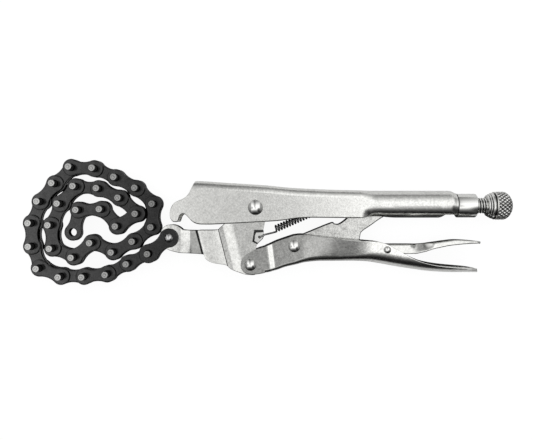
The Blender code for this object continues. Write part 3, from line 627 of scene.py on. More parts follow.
def buildChain():
    x, y = chain["anchor"]
    heading = math.radians(chain["bends"][0])
    pitch = chain["anchorPitch"]
    loop = linkLoop(pitch, chain["anchorRadius"], chain["anchorWaist"])
    ends = [(-pitch / 2, 0), (pitch / 2, 0)]
    for name, side in (("near", 1), ("far", -1)):
        bm = bmesh.new()
        linkPlate(bm, loop, ends, (chain["anchorHole"], chain["bore"]), chain["anchorLevels"], side)
        placeAlong(bm, (x, y), heading, pitch)
        finishPiece(f"anchorPlate_{name}", bm, ["blackOxide"], "anchor_link", [f"anchor_plate_{name}"])
    loop = linkLoop(chain["pitch"], chain["endRadius"], chain["waist"])
    ends = [(-chain["pitch"] / 2, 0), (chain["pitch"] / 2, 0)]
    for n in range(1, 31):
        x += pitch * math.cos(heading)
        y += pitch * math.sin(heading)
        heading += math.radians(chain["bends"][n])
        pitch = chain["pitch"]
        bm = bmesh.new()
        if n % 2:
            name, node = f"outerLink_{n:02d}", f"outer_link_{n:02d}"
            levels, bores = chain["outerLevels"], [chain["pinRadius"] - 0.02] * 2
        elif n < 30:
            name, node = f"innerLink_{n:02d}", f"inner_link_{n:02d}"
            levels, bores = chain["innerLevels"], [chain["bore"]] * 2
        else:
            name, node = "endLink", "chain_end_link"
            levels, bores = chain["innerLevels"], [chain["bore"], chain["openHole"]]
        for side in (1, -1):
            linkPlate(bm, loop, ends, bores, levels, side)
        for end, bore in zip(ends, bores):
            if n % 2:
                pinMesh(bm, end)
            else:
                bushingMesh(bm, end, bore)
        placeAlong(bm, (x, y), heading, pitch)
        finishPiece(name, bm, ["blackOxide", "pinSideOxideAndShade", "pinEnd"], f"chain_link_{n:02d}", [node])


buildChain()
print("stage: chain built")


# Upper handle: folded channel in front, closed to a tube behind

upper = {
    "half": 8.8, "sheet": 2.2, "edge": 0.65, "fold": 5.0,
    "frontX": -41.2, "foldLevel": 12.1, "peakX": -38.7, "peak": 17.1, "noseX": -54.9, "darkX": 130.0,
    "noseTop": [(-54.9, -4.6), (-54.75, -2.6), (-54.0, 0.0), (-53.0, 1.8), (-51.8, 3.1), (-49.5, 4.4),
                (-47.0, 5.4),
                (-45.0, 6.6), (-42.8, 8.9), (-41.2, 12.1)],
    "noseBottom": [(-54.9, -4.6), (-54.7, -6.2), (-54.0, -7.9), (-53.3, -8.8), (-52.4, -9.35), (-51.0, -9.4),
                   (-50.1, -9.25), (-49.75, -8.7), (-49.35, -7.4), (-48.7, -5.7), (-47.8, -4.7), (-46.7, -4.2),
                   (-45.6, -4.3), (-44.4, -5.0), (-42.5, -7.0), (-40.6, -9.0), (-38.7, -10.15), (-37.0, -10.7)],
    "bottom": [(-41.2, -8.4), (-40.0, -9.45), (-38.7, -10.15), (-37.0, -10.7), (-35.0, -10.95), (-30.0, -11.0),
               (-20.0, -10.6), (4.8, -9.3), (14.2, -8.7), (27.5, -7.0), (34.0, -6.6), (64.0, -6.8),
               (80.0, -6.7)],
    "top": [(-41.2, 17.1), (-38.7, 17.1), (-19.7, 16.0), (-0.3, 14.8), (8.1, 14.2), (16.3, 13.3), (24.6, 12.6),
            (35.8, 12.0), (55.0, 11.3), (66.0, 11.1), (80.0, 11.0)],
    "spans": [(-41.2, -35.0, 16), (-33.0, 64.0, 34), (65.0, 80.0, 31), (82.0, 92.0, 6), (96.0, 117.0, 5),
              (118.4, 125.4, 15), (125.8, 130.8, 11)],
    "noseSteps": [0.0, 0.12, 0.3, 0.55, 0.9, 1.3, 1.75, 2.2, 2.8, 3.4, 3.9, 4.3, 4.6, 4.8, 5.0, 5.15, 5.3, 5.5,
                  5.7, 5.9, 6.2, 6.5, 6.9, 7.3, 7.8, 8.3, 8.9, 9.5, 10.1, 10.8, 11.5, 12.3, 13.0, 13.7],
    "endSheet": 1.9, "thins": (125.0, 130.0), "leastNose": 1.6,
    "tubeRadius": 8.8, "tubeAxis": 2.1, "tubeEnd": 130.8, "morph": (67.0, 77.5), "screwAxis": 1.2,
    "lipGap": [(64.0, 3.8), (80.0, 3.6), (92.0, 0.5), (118.6, 0.4), (120.4, 2.4), (122.5, 5.2), (127.0, 5.2),
               (127.8, 5.0), (130.8, 4.6)],
}


# The spring is hooked between the jaw and a post in the upper handle
spring = {"wire": 0.6, "radius": 1.93, "pitch": 1.94, "curls": 19, "start": (12.9, -14.0), "angle": 23.6,
          "eye": (2.5, -19.3), "stub": (5.9, -17.6), "post": (53.0, 2.0), "postRadius": 1.0, "postHalf": 7.4}


def upperPath(x):
    # Outer side of the section from the near lip over the back to the far lip, as (y, z) with outward normals
    half, fold = upper["half"], upper["fold"]
    low, top = heightAt(upper["bottom"], x), heightAt(upper["top"], x)
    wall = top - fold - low
    bend = math.pi / 2 * fold
    web = half - fold
    total = wall + bend + web
    lengths = [0.0, 0.5, 0.7] + [0.7 + (wall - 0.9) * s for s in evenly(0.12, 0.88, 7)] + [wall - 0.2]
    lengths += [wall + bend * i / 12 for i in range(13)] + [wall + bend + web * s for s in (0.3, 0.65, 1.0)]
    share = smoothStep(x, *upper["morph"])
    gap = heightAt(upper["lipGap"], x)
    radius, axis = upper["tubeRadius"], upper["tubeAxis"]
    squeeze = smoothStep(x, 125.4, upper["tubeEnd"] + 0.4) ** 1.2
    radius = mixed(radius, 7.72, squeeze)
    axis = mixed(axis, upper["screwAxis"] + 0.1, squeeze)
    lipAngle = -math.pi / 2 + math.asin(min(gap / radius, 0.95))
    side = []
    for length in lengths:
        if length <= wall:
            point, normal = Vector((low + length, half)), Vector((0.0, 1.0))
        elif length <= wall + bend:
            angle = (length - wall) / fold
            point = Vector((top - fold + fold * math.sin(angle), half - fold + fold * math.cos(angle)))
            normal = Vector((math.sin(angle), math.cos(angle)))
        else:
            point, normal = Vector((top, half - fold - (length - wall - bend))), Vector((1.0, 0.0))
        turn = lipAngle + (math.pi / 2 - lipAngle) * length / total
        roundNormal = Vector((math.sin(turn), math.cos(turn)))
        roundPoint = Vector((axis, 0.0)) + roundNormal * radius
        side.append((point.lerp(roundPoint, share), normal.lerp(roundNormal, share).normalized()))
    return bothSides(side)


def frontShear(x):
    # The front end follows the cut of the nose where it crosses the fold
    fadeOut = 1.0 - smoothStep(x, upper["frontX"], upper["frontX"] + 6.0)

    def shift(point):
        rise = min(max((point.x - upper["foldLevel"]) / (upper["peak"] - upper["foldLevel"]), 0.0), 1.0)
        return rise * (upper["peakX"] - upper["frontX"]) * fadeOut
    return shift


def buildUpperHandle():
    bm = bmesh.new()
    xs = stretches(upper["spans"])
    rings = []
    for x in xs:
        shift = frontShear(x) if x < -34 else None
        thickness = mixed(upper["sheet"], upper["endSheet"], smoothStep(x, *upper["thins"]))
        rings.append(sheetRing(x, upperPath(x), thickness, upper["edge"], shift))
    # Painted shade: the sheet's inner side, and the tube's end beyond darkX where it meets the bush, take the
    # near-black metal
    inner = paintedShadeInside(upperPath(0.0))
    joinRings(bm, rings, slotFor=lambda k, i: 1 if xs[k] > upper["darkX"] else inner(k, i))
    for side in (1, -1):
        rings = []
        for step in upper["noseSteps"]:
            x = upper["noseX"] + step
            low, top = (heightAt(upper[key], x) for key in ("noseBottom", "noseTop"))
            low, top = keptApart(low, top, upper["leastNose"])
            edge = min(upper["edge"], (top - low) * 0.3)
            path = wallPath(low, top, edge + 0.15, side * upper["half"], side)
            rings.append(sheetRing(x, path, upper["sheet"], edge))
        joinRings(bm, rings)
    turned(bm, [(spring["postRadius"], side * spring["postHalf"]) for side in (-1, 1)], spring["post"], 20)
    finishPiece("upperHandle", bm, ["blastedNickel", "shadedNickel"], "upper_handle", ["upper_handle"])


buildUpperHandle()


# Bush, screw and knob on the screw's axis

screw = {"axis": 1.2, "crest": 5.1, "root": 4.15, "pitch": 1.66, "tipX": 90.0, "threadX": (112.0, 150.4),
         "around": 40, "perTurn": 10, "crestShare": 0.27}
bush = {"ends": (130.9, 143.5), "radius": 7.7, "bore": 5.2, "around": 72}


def screwRing(x, radius, around):
    # Circle about the screw's axis
    angles = [2 * math.pi * i / around for i in range(around)]
    return [Vector((x, screw["axis"] + radius * math.cos(a), radius * math.sin(a))) for a in angles]


def buildBush():
    bm = bmesh.new()
    low, high = bush["ends"]
    radius, bore = bush["radius"], bush["bore"]
    profile = [(bore, low), (radius - 0.5, low), (radius - 0.12, low + 0.18), (radius, low + 0.6),
               (radius, high - 0.9), (radius - 0.1, high - 0.45), (radius - 0.55, high - 0.08),
               (radius - 0.9, high), (bore + 0.6, high), (bore, high - 0.5), (bore, low)]
    sewn(bm, [screwRing(x, r, bush["around"]) for r, x in profile])
    finishPiece("threadBush", bm, ["smoothNickel"], "upper_handle", ["thread_bush"])


def buildScrew():
    bm = bmesh.new()
    around, perTurn = screw["around"], screw["perTurn"]
    (start, end), tip = screw["threadX"], screw["tipX"]
    plain = [(0.4, tip), (2.6, tip), (3.1, tip + 0.6), (3.2, tip + 3.0), (4.3, tip + 3.8), (4.35, start - 0.6)]
    rings = [screwRing(x, radius, around) for radius, x in plain]
    for k in range(int((end - start) / screw["pitch"] * perTurn) + 1):
        settle = min(k / perTurn, 1.0)
        ring = []
        for i in range(around):
            phase = (k / perTurn - i / around) % 1.0
            rise = min(max(1.2 - abs(phase - 0.5) * 2.5, 0.0), 1.0)
            radius = mixed(screw["root"], screw["crest"], rise * settle)
            angle = 2 * math.pi * i / around
            ring.append(Vector((start + k * screw["pitch"] / perTurn, screw["axis"] + radius * math.cos(angle),
                                radius * math.sin(angle))))
        rings.append(ring)

    # Painted shade: the thread's grooves take the near-black metal
    def slotFor(k, i):
        if k < len(plain):
            return 0
        phase = ((k - len(plain) + 0.5) / perTurn - (i + 0.5) / around) % 1.0
        return 1 if abs(phase - 0.5) > screw["crestShare"] else 0

    joinRings(bm, rings, slotFor=slotFor)
    finishPiece("adjustingScrew", bm, ["smoothNickel", "shadedNickel"], "screw", ["adjusting_screw"],
                sharp=60.0)


# The neck's rings have a radius, a place and the metal of the band behind them; metal 1 is the near-black
# painted shade in the grooves
knob = {
    "knurlX": (155.6, 167.0), "radius": 9.2, "endRadius": 1.2, "roundLength": 5.4, "starts": 22, "perStart": 12,
    "bands": 76, "depth": 0.65, "length": 3.0, "grooveShare": 0.36,
    "neck": [(0.5, 150.45, 0), (6.4, 150.45, 0), (6.9, 150.8, 0), (7.0, 151.3, 1), (6.7, 151.4, 1),
             (6.7, 151.7, 0), (7.5, 151.85, 0), (7.6, 152.4, 1), (7.3, 152.5, 1), (7.3, 152.85, 0),
             (8.1, 153.0, 0), (8.4, 153.9, 0), (8.45, 154.3, 1), (7.9, 154.5, 1), (7.9, 155.1, 0),
             (9.0, 155.25, 0)],
}


def knobRadius(x):
    low, high = knob["knurlX"]
    shoulder = smoothStep(x, low - 0.05, low + 1.0)
    body = mixed(knob["radius"] - 0.9, knob["radius"], math.sqrt(shoulder))
    roundStart = high - knob["roundLength"]
    if x > roundStart:
        share = (x - roundStart) / (high - roundStart)
        body = knob["endRadius"] + (body - knob["endRadius"]) * math.sqrt(max(1 - share ** 1.5, 0.0))
    return body


def knurlRidge(place, x):
    # Height between two crossing sets of grooves, from the groove's bottom to the ridge
    low, high = knob["knurlX"]
    turn, along = place / knob["perStart"], (x - low) / knob["length"]
    one, two = (turn + along) % 1.0, (turn - along) % 1.0
    ridge = min(min(abs(one - 0.5), abs(two - 0.5)) * 2.5, 1.0)
    fade = smoothStep(x, low + 0.2, low + 0.8) * (1 - smoothStep(x, high - 0.7, high - 0.05))
    return 1 - (1 - ridge) * fade


def buildKnob():
    bm = bmesh.new()
    around = knob["starts"] * knob["perStart"]
    stations = evenly(*knob["knurlX"], knob["bands"] + 1)
    rings = [screwRing(x, radius, around) for radius, x, slot in knob["neck"]]
    front = len(rings)
    for x in stations:
        base = knobRadius(x)
        ring = []
        for i in range(around):
            angle = 2 * math.pi * i / around
            radius = base - knob["depth"] * (1 - knurlRidge(i, x)) * base / knob["radius"]
            ring.append(Vector((x, screw["axis"] + radius * math.cos(angle), radius * math.sin(angle))))
        rings.append(ring)
    rings.append(screwRing(stations[-1], 0.3, around))

    # Painted shade: the neck's grooves and the knurl's grooves take the near-black metal
    def slotFor(k, i):
        if k < front:
            return knob["neck"][k][2]
        if k < front + knob["bands"]:
            middle = (stations[k - front] + stations[k - front + 1]) / 2
            return 1 if knurlRidge(i + 0.5, middle) < knob["grooveShare"] else 0
        return 0

    joinRings(bm, rings, slotFor=slotFor)
    finishPiece("knurledKnob", bm, ["smoothNickel", "shadedNickel"], "knob", ["knurled_knob"],
                sharp=70.0)


buildBush()
buildScrew()
buildKnob()
print("stage: upper handle and screw built")


# Jaw: two jogged plates, nose lug, block for the spring

jaw = {
    "levels": (3.9, 6.3), "edge": 0.5, "tilt": 14.3, "pivotY": -12.0, "groove": (-24.97, -24.45),
    "places": [-38.3, -38.2, -38.0, -37.7, -37.4, -37.2, -36.8, -36.25, -35.0, -34.0, -33.0, -32.0,
               -24.95, -24.9, -24.5, -24.45],
    "spans": [(-31.0, -25.2, 18), (-24.2, -12.8, 46), (-12.0, 8.0, 28)],
    "slopes": [(-38.3, 0.2), (-37.4, 0.2), (-37.2, 0.03), (-30.0, 0.035), (-25.3, 0.08), (-24.95, 0.08),
               (-24.9, 0.8), (-24.5, 0.8), (-24.45, 0.28),
               (-21.6, 0.29), (-20.9, 0.21), (-16.8, 0.16), (-15.4, 0.08), (-13.4, 0.0)],
    "rear": [(30, 12), (7.2, 12), (7.0, 2), (6.4, -6), (6.06, -9.8), (5.1, -14.4), (-0.8, -14.4),
             (-2.1, -22.1), (1.17, -23.8),
             (0.65, -24.8), (0.2, -27.1), (1.0, -30), (3.6, -34), (4.2, -37.5), (3.0, -41), (0.0, -43.2),
             (-2.0, -44),
             (-2.0, -50), (30, -50)],
}


def jawLift(x, y):
    # How far the sheet is pressed towards the middle plane: the rest of the slopes' sum behind this line
    along = x + (y - jaw["pivotY"]) * math.tan(math.radians(jaw["tilt"]))
    rest = 0.0
    for (s0, g0), (s1, g1) in zip(jaw["slopes"], jaw["slopes"][1:]):
        if along < s1:
            start = max(along, s0)
            g = g0 + (g1 - g0) * (start - s0) / (s1 - s0)
            rest += (s1 - start) * (g + g1) / 2
    return rest


# Edges of the jaw plates by their place along the press's direction
jawEdges = {
    "top": [(-38.3, -15.0), (-38.0, -14.7), (-36.0, -14.5), (-30.0, -14.5), (-26.0, -14.4), (-24.9, -14.1),
            (-22.8, -12.6),
            (-20.6, -11.1), (-18.0, -8.5), (-14.0, -6.0), (-8.0, -3.0), (-4.0, 2.0), (0.0, 5.9),
            (4.0, 5.9), (8.0, 5.5)],
    "bottom": [(-38.3, -31.4), (-38.0, -32.9), (-37.3, -34.0), (-36.25, -35.0), (-33.0, -36.2), (-27.1, -37.1),
               (-25.5, -37.5), (-23.0, -40.0), (-20.4, -41.2), (-17.2, -42.4), (-14.3, -43.3),
               (-11.0, -43.6), (-4.0, -43.4),
               (0.0, -42.0), (8.0, -41.0)],
}


def cutAway(bm, corners):
    # The mesh less a tall prism over the corners
    tool = bmesh.new()
    low = [tool.verts.new((x, y, -30)) for x, y in corners]
    high = [tool.verts.new((x, y, 30)) for x, y in corners]
    tool.faces.new(low)
    tool.faces.new(high)
    for i in range(len(corners)):
        j = (i + 1) % len(corners)
        tool.faces.new((low[i], low[j], high[j], high[i]))
    bmesh.ops.recalc_face_normals(tool, faces=tool.faces)
    bmesh.ops.recalc_face_normals(bm, faces=bm.faces)
    helpers = []
    for name, shape in (("cutBody", bm), ("cutTool", tool)):
        mesh = bpy.data.meshes.new(name)
        shape.to_mesh(mesh)
        shape.free()
        helper = bpy.data.objects.new(name, mesh)
        bpy.context.scene.collection.objects.link(helper)
        helpers.append(helper)
    step = helpers[0].modifiers.new("cut", "BOOLEAN")
    step.operation, step.solver, step.object = "DIFFERENCE", "EXACT", helpers[1]
    held = helpers[0].evaluated_get(bpy.context.evaluated_depsgraph_get())
    result = bmesh.new()
    result.from_mesh(held.to_mesh())
    held.to_mesh_clear()
    for helper in helpers:
        mesh = helper.data
        bpy.data.objects.remove(helper)
        bpy.data.meshes.remove(mesh)
    return result


def jawSheet(side):
    # Sheet between its two edges, cut into strips along leaning lines, each lifted by the press's form
    bm = bmesh.new()
    lean = math.tan(math.radians(jaw["tilt"]))
    edge, (back, face) = jaw["edge"], jaw["levels"]
    xs = sorted(jaw["places"] + stretches(jaw["spans"]))
    rings = []
    for x in xs:
        low, top = keptApart(heightAt(jawEdges["bottom"], x), heightAt(jawEdges["top"], x), 2.5 * edge)
        ring = []
        for p in sheetRing(0.0, wallPath(low, top, edge + 0.15, 0.0, 1), face - back, edge):
            px = x - (p.y - jaw["pivotY"]) * lean
            ring.append(Vector((px, p.y, (face - jawLift(px, p.y) + p.z) * side)))
        rings.append(ring)
    # Painted shade: the crease at the groove takes the near-black metal
    first, last = jaw["groove"]
    joinRings(bm, rings, slotFor=lambda k, i: 1 if first <= (xs[k] + xs[k + 1]) / 2 <= last else 0)
    return bm


def buildJawPlates():
    for name, side in (("near", 1), ("far", -1)):
        bm = cutAway(jawSheet(side), jaw["rear"])
        finishPiece(f"jawPlate_{name}", bm, ["jawNickel", "shadedNickel"], "jaw", [f"lower_jaw_plate_{name}"],
                    sharp=30.0)


lug = {
    "top": [(-62.0, -19.7), (-61.5, -15.6), (-59.6, -12.9), (-57.0, -11.3), (-54.0, -10.9), (-51.0, -11.6),
            (-48.6, -13.0), (-46.9, -14.3), (-43.0, -14.6), (-36.8, -14.6), (-30.0, -14.8)],
    "bottom": [(-62.0, -20.7), (-61.0, -23.8), (-58.4, -26.3), (-55.0, -28.0), (-49.0, -29.4), (-42.0, -29.9),
               (-38.5, -30.6), (-36.0, -31.8), (-34.0, -32.6), (-32.0, -31.0), (-30.0, -28.0)],
    "half": [(-62.0, 4.3), (-50.5, 4.6), (-48.6, 4.57), (-46.6, 4.38), (-44.6, 3.95), (-42.7, 3.4),
             (-42.2, 3.2),
             (-39.4, 1.75), (-39.0, 1.5), (-38.7, 0.7), (-37.9, 0.5), (-37.2, 0.55), (-30.0, 0.55)],
    "slope": (-42.4, -38.9), "gap": (-38.95, -37.4), "lean": 0.2545, "leanY": -15.0, "edge": 0.5,
    "places": [-62.0, -61.9, -61.6, -61.1, -60.4, -59.5, -58.4, -57.2, -55.8, -54.2, -52.6, -51.0, -49.6, -48.4],
    "spans": [(-47.6, -37.2, 53), (-36.5, -30.2, 6)],
}


def buildLug():
    bm = bmesh.new()
    xs = lug["places"] + stretches(lug["spans"])
    rings = []
    for x in xs:
        low, top, half = heightAt(lug["bottom"], x), heightAt(lug["top"], x), heightAt(lug["half"], x)
        edge = min(lug["edge"], half * 0.45)
        ring = []
        for corner, start in (((top - edge, half - edge), 0), ((low + edge, half - edge), 90),
                              ((low + edge, -half + edge), 180), ((top - edge, -half + edge), 270)):
            for i in range(5):
                angle = math.radians(start + 90 * i / 4)
                y = corner[0] + edge * math.cos(angle)
                lean = (y - lug["leanY"]) * lug["lean"] * smoothStep(x, lug["slope"][0], lug["slope"][1])
                ring.append(Vector((x - lean, y, corner[1] + edge * math.sin(angle))))
        rings.append(ring)

    # Painted shade: the slope takes the darker lugShade, and the gap at the plates' front edge takes the
    # near-black metal
    def slotFor(k, i):
        middle = (xs[k] + xs[k + 1]) / 2
        if lug["gap"][0] <= middle <= lug["gap"][1]:
            return 2
        return 1 if lug["slope"][0] <= middle <= lug["slope"][1] else 0

    joinRings(bm, rings, slotFor=slotFor)
    finishPiece("noseLug", bm, ["jawNickel", "lugShade", "shadedNickel"], "jaw", ["jaw_nose_lug"])


block = {
    "core": [(-9.0, -13.2), (4.3, -13.2), (5.3, -15.4), (4.6, -19.0), (1.0, -24.2), (-3.4, -23.4),
             (-9.0, -22.6)],
    "pad": [(0.4, -15.9), (4.9, -15.9), (5.6, -18.2), (4.7, -20.3), (1.6, -23.3), (-1.1, -21.7), (-0.6, -18.0)],
    "coreHalf": 2.0, "coreEdge": 0.2, "padLevels": [(1.9, 3.6), (-3.6, -1.9)], "padEdge": 0.45, "hole": 0.66,
}


def buildSpringBlock():
    # A light bracket on a near-black core of painted shade that fills the gap round it
    bm = bmesh.new()
    plate(bm, block["core"], [], -block["coreHalf"], block["coreHalf"], block["coreEdge"], slot=1)
    for low, high in block["padLevels"]:
        plate(bm, block["pad"], [circle(spring["eye"], block["hole"], 20)], low, high, block["padEdge"])
    finishPiece("springBlock", bm, ["smoothNickel", "shadedNickel"], "jaw", ["spring_block"])


buildJawPlates()
buildLug()
buildSpringBlock()


# Rivets


def domeProfile(radius, height, low, steps=10, rim=0.12):
    # Head from its rim to its crown: part of a ball whose side starts steep
    points = [(radius - 0.15, low - 0.05), (radius, low + 0.1), (radius, low + rim)]
    tall = height - rim
    ball = (radius * radius + tall * tall) / (2 * tall)
    slope = math.asin(min(radius / ball, 1.0))
    for i in range(1, steps + 1):
        angle = slope * (1 - i / steps)
        points.append((ball * math.sin(angle) + 0.02, low + rim + tall - ball * (1 - math.cos(angle))))
    return points


# Heads reach from their sheet to the crown
rivets = {
    "mainRivet": {"body": "upper_handle", "node": "main_pivot_rivet", "center": (0.0, 0.0), "radius": 4.9,
                  "levels": (8.85, 11.19), "shank": 2.9, "metal": "polishedRivet"},
    "handleRivet": {"body": "lower_handle", "node": "handle_rivet", "center": (-3.2, -36.8), "radius": 3.8,
                    "levels": (8.65, 10.6), "shank": 2.3, "metal": "polishedRivet"},
    "toggleRivet": {"body": "lower_handle", "node": "toggle_rivet", "center": (24.855, -24.834), "radius": 3.85,
                    "levels": (9.45, 11.19), "shank": 2.3, "metal": "polishedRivet"},
    "releaseRivet": {"body": "lower_handle", "node": "release_rivet", "center": (84.384, -27.104), "radius": 2.4,
                     "levels": (9.45, 11.19), "shank": 1.35, "metal": "polishedRivet"},
    "anchorRivet": {"body": "jaw", "node": "chain_anchor_rivet", "center": chain["anchor"], "radius": 2.9,
                    "levels": (6.32, 8.0), "shank": 2.3, "metal": "blackRivet"},
}


def buildRivet(name, shape):
    bm = bmesh.new()
    low, high = shape["levels"]
    half = [(shape["shank"], 0.0), (shape["shank"], low - 0.05)] + domeProfile(shape["radius"], high - low, low)
    profile = [(r, -a) for r, a in reversed(half)] + half[1:]
    turned(bm, profile, shape["center"], 48)
    finishPiece(name, bm, [shape["metal"]], shape["body"], [shape["node"]], sharp=50.0)


for rivetName, rivetShape in rivets.items():
    buildRivet(rivetName, rivetShape)
print("stage: jaw and rivets built")


# Lower handle

lower = {
    "half": 9.4, "earHalf": 8.6, "sheet": 2.0, "edge": 0.5, "jogX": (7.6, 12.6), "paintedHighlightX": (8.6, 11.6),
    "darkRimX": 30.0, "jogLean": 0.13, "leanIn": (6.0, 8.0), "leanOut": (13.0, 22.0), "leanY": -33.0,
    "spans": [(6.0, 8.0, 4), (8.3, 12.3, 17), (13.5, 40.0, 24), (42.0, 94.0, 40), (95.5, 136.0, 30),
              (137.0, 143.6, 8)],
    "earX": -9.5, "leastEar": 1.4,
    "earSteps": [0.0, 0.06, 0.2, 0.45, 0.8, 1.2, 1.7, 2.3, 3.0, 3.8, 4.7, 5.7, 6.8, 8.0, 9.5, 11.0, 12.6, 14.2,
                 15.5],
    "top": [(-9.5, -36.8), (-9.42, -35.8), (-9.1, -34.5), (-8.4, -33.1), (-7.3, -31.7), (-5.2, -30.0),
            (-2.9, -28.6),
            (1.0, -26.6), (6.0, -25.0), (8.6, -24.2), (16.4, -20.8), (21.5, -18.7), (25.5, -17.5),
            (29.8, -17.1),
            (34.0, -17.5), (41.3, -18.6), (54.1, -20.2), (67.0, -21.4), (77.8, -22.0), (82.0, -22.9),
            (85.4, -24.2),
            (90.0, -26.8), (95.0, -29.6), (100.0, -32.3), (104.5, -34.3), (110.0, -36.1), (116.6, -37.5),
            (123.0, -38.4), (129.6, -39.1), (136.0, -39.8), (140.0, -40.5), (142.8, -41.2), (144.0, -41.5)],
    "bottom": [(-9.5, -37.0), (-9.42, -37.9), (-9.1, -39.1), (-8.4, -40.4), (-7.2, -41.6), (-5.4, -42.7),
               (-3.2, -43.1),
               (0.5, -42.95), (6.3, -41.9), (12.6, -40.1), (19.2, -38.1), (25.6, -36.7), (32.0, -35.2),
               (41.8, -34.5),
               (51.6, -34.6), (61.2, -34.6), (70.8, -34.9), (80.6, -36.3), (90.4, -38.1), (100.1, -39.6),
               (109.9, -41.0), (119.5, -41.8), (129.2, -42.1), (135.6, -42.1), (144.0, -42.2)],
    "corner": [(6.0, 2.2), (23.0, 2.6), (32.0, 3.4), (41.8, 4.2), (51.6, 4.8), (61.2, 5.4), (70.0, 7.0),
               (78.0, 8.8),
               (86.4, 9.3), (144.0, 9.35)],
    "lean": [(6.0, 0.0), (30.0, 0.0), (39.0, 4.5), (48.0, 11.5), (56.0, 17.0), (63.0, 18.5), (69.0, 15.5),
             (75.0, 8.5),
             (82.0, 3.0), (90.0, 0.0), (144.0, 0.0)],
    "topEdge": [(6.0, 0.5), (34.0, 0.5), (44.0, 0.2), (144.0, 0.2)],
}


def lowerPath(x):
    # Outer side from the near lip under the handle to the far lip
    half = mixed(lower["earHalf"], lower["half"], smoothStep(x, *lower["jogX"]))
    corner = min(heightAt(lower["corner"], x), half - 0.05)
    top, bottom = heightAt(lower["top"], x), heightAt(lower["bottom"], x)
    lean = math.radians(heightAt(lower["lean"], x))
    centerY = bottom + corner
    wall = max(top - centerY + corner * math.sin(lean), 0.0) / math.cos(lean)
    floor = max(half - wall * math.sin(lean) - corner * math.cos(lean), 0.05)
    bend = corner * (math.pi / 2 - lean)
    if wall > 0:
        total = floor + bend + wall
    else:
        total = floor + corner * math.acos(min(max((centerY - top) / corner, -1.0), 1.0))
    bendEnd = min(floor + bend, total - 0.9)
    lengths = [floor * s for s in (0.0, 0.5)] + [floor + (bendEnd - floor) * i / 18 for i in range(19)]
    lengths += [bendEnd + (total - 0.65 - bendEnd) * s for s in (0.3, 0.7)] + [total - 0.62, total]
    side = []
    for length in lengths:
        angle = min(max(length - floor, 0.0), bend) / corner
        normal = Vector((-math.cos(angle), math.sin(angle)))
        point = Vector((centerY, floor)) + normal * corner
        if length <= floor:
            point.y = length
        elif length > floor + bend:
            point = point + Vector((math.cos(lean), math.sin(lean))) * (length - floor - bend)
        side.append((point, normal))
    return bothSides(list(reversed(side)))


def buildLowerHandle():
    bm = bmesh.new()
    xs = stretches(lower["spans"])
    rings = []
    for x in xs:
        lean = lower["jogLean"] * smoothStep(x, *lower["leanIn"]) * (1 - smoothStep(x, *lower["leanOut"]))
        edge = heightAt(lower["topEdge"], x)
        rings.append(sheetRing(x, lowerPath(x), lower["sheet"], edge, lambda p: -(p.x - lower["leanY"]) * lean))
    count = len(lowerPath(xs[0]))

    def slotFor(k, i):
        # Painted shade: the near-black metal of the inner side takes in the rims in front and leaves them bright
        # behind; the band at the jog takes the brighter nickel as a painted highlight
        rim = 3 if xs[k] < lower["darkRimX"] else -3
        if count + 3 - rim <= i <= 2 * count + 8 + rim:
            return 1
        return 2 if lower["paintedHighlightX"][0] <= xs[k] <= lower["paintedHighlightX"][1] else 0

    joinRings(bm, rings, slotFor=slotFor)
    for side in (1, -1):
        rings = []
        for step in lower["earSteps"]:
            x = lower["earX"] + step
            low, top = keptApart(heightAt(lower["bottom"], x), heightAt(lower["top"], x), lower["leastEar"])
            path = wallPath(low, top, 0.6, side * lower["earHalf"], side)
            rings.append(sheetRing(x, path, lower["sheet"], lower["edge"]))
        joinRings(bm, rings)
    finishPiece("lowerHandle", bm, ["nickelPaintedShadeFront", "shadedNickel", "blastedNickel"], "lower_handle",
                ["lower_handle"])


# The toggle's edges are in shares of its length
toggle = {
    "half": 3.0, "edge": 0.65, "pivot": (24.855, -24.834), "angle": 23.1, "length": 62.0, "hole": 2.5,
    "endRadius": 4.4, "pivotRadius": 5.6,
    "top": [(0.965, 0.0745), (0.70, 0.074), (0.616, 0.047), (0.565, 0.033), (0.518, 0.029), (0.480, 0.05),
            (0.445, 0.073), (0.127, 0.078)],
    "under": [(0.03, -0.088), (0.32, -0.210), (0.55, -0.255), (0.640, -0.230), (0.675, -0.185), (0.71, -0.145),
              (0.80, -0.125), (0.89, -0.105), (0.97, -0.0745)],
}


def buildToggle():
    bm = bmesh.new()
    length, half = toggle["length"], toggle["half"]
    top, under = ([(x * length, y * length) for x, y in toggle[key]] for key in ("top", "under"))
    outline = arcPoints((length, 0.0), toggle["endRadius"], -80, 80, 10) + curveThrough(top, 5)
    outline += arcPoints((0.0, 0.0), toggle["pivotRadius"], 75, 245, 12) + curveThrough(under, 5)
    # Painted shade: the upper half of the rim takes the near-black metal
    plate(bm, outline, [circle((0, 0), toggle["hole"], 20)], -half, half, toggle["edge"],
          rimSlot=lambda p: 1 if p.y > 0 else 0)
    turn = Matrix.Rotation(math.radians(toggle["angle"]), 4, "Z")
    bm.transform(Matrix.Translation((*toggle["pivot"], 0)) @ turn)
    finishPiece("toggleLink", bm, ["toggleNickel", "shadedNickel"], "toggle_link", ["toggle_link"])


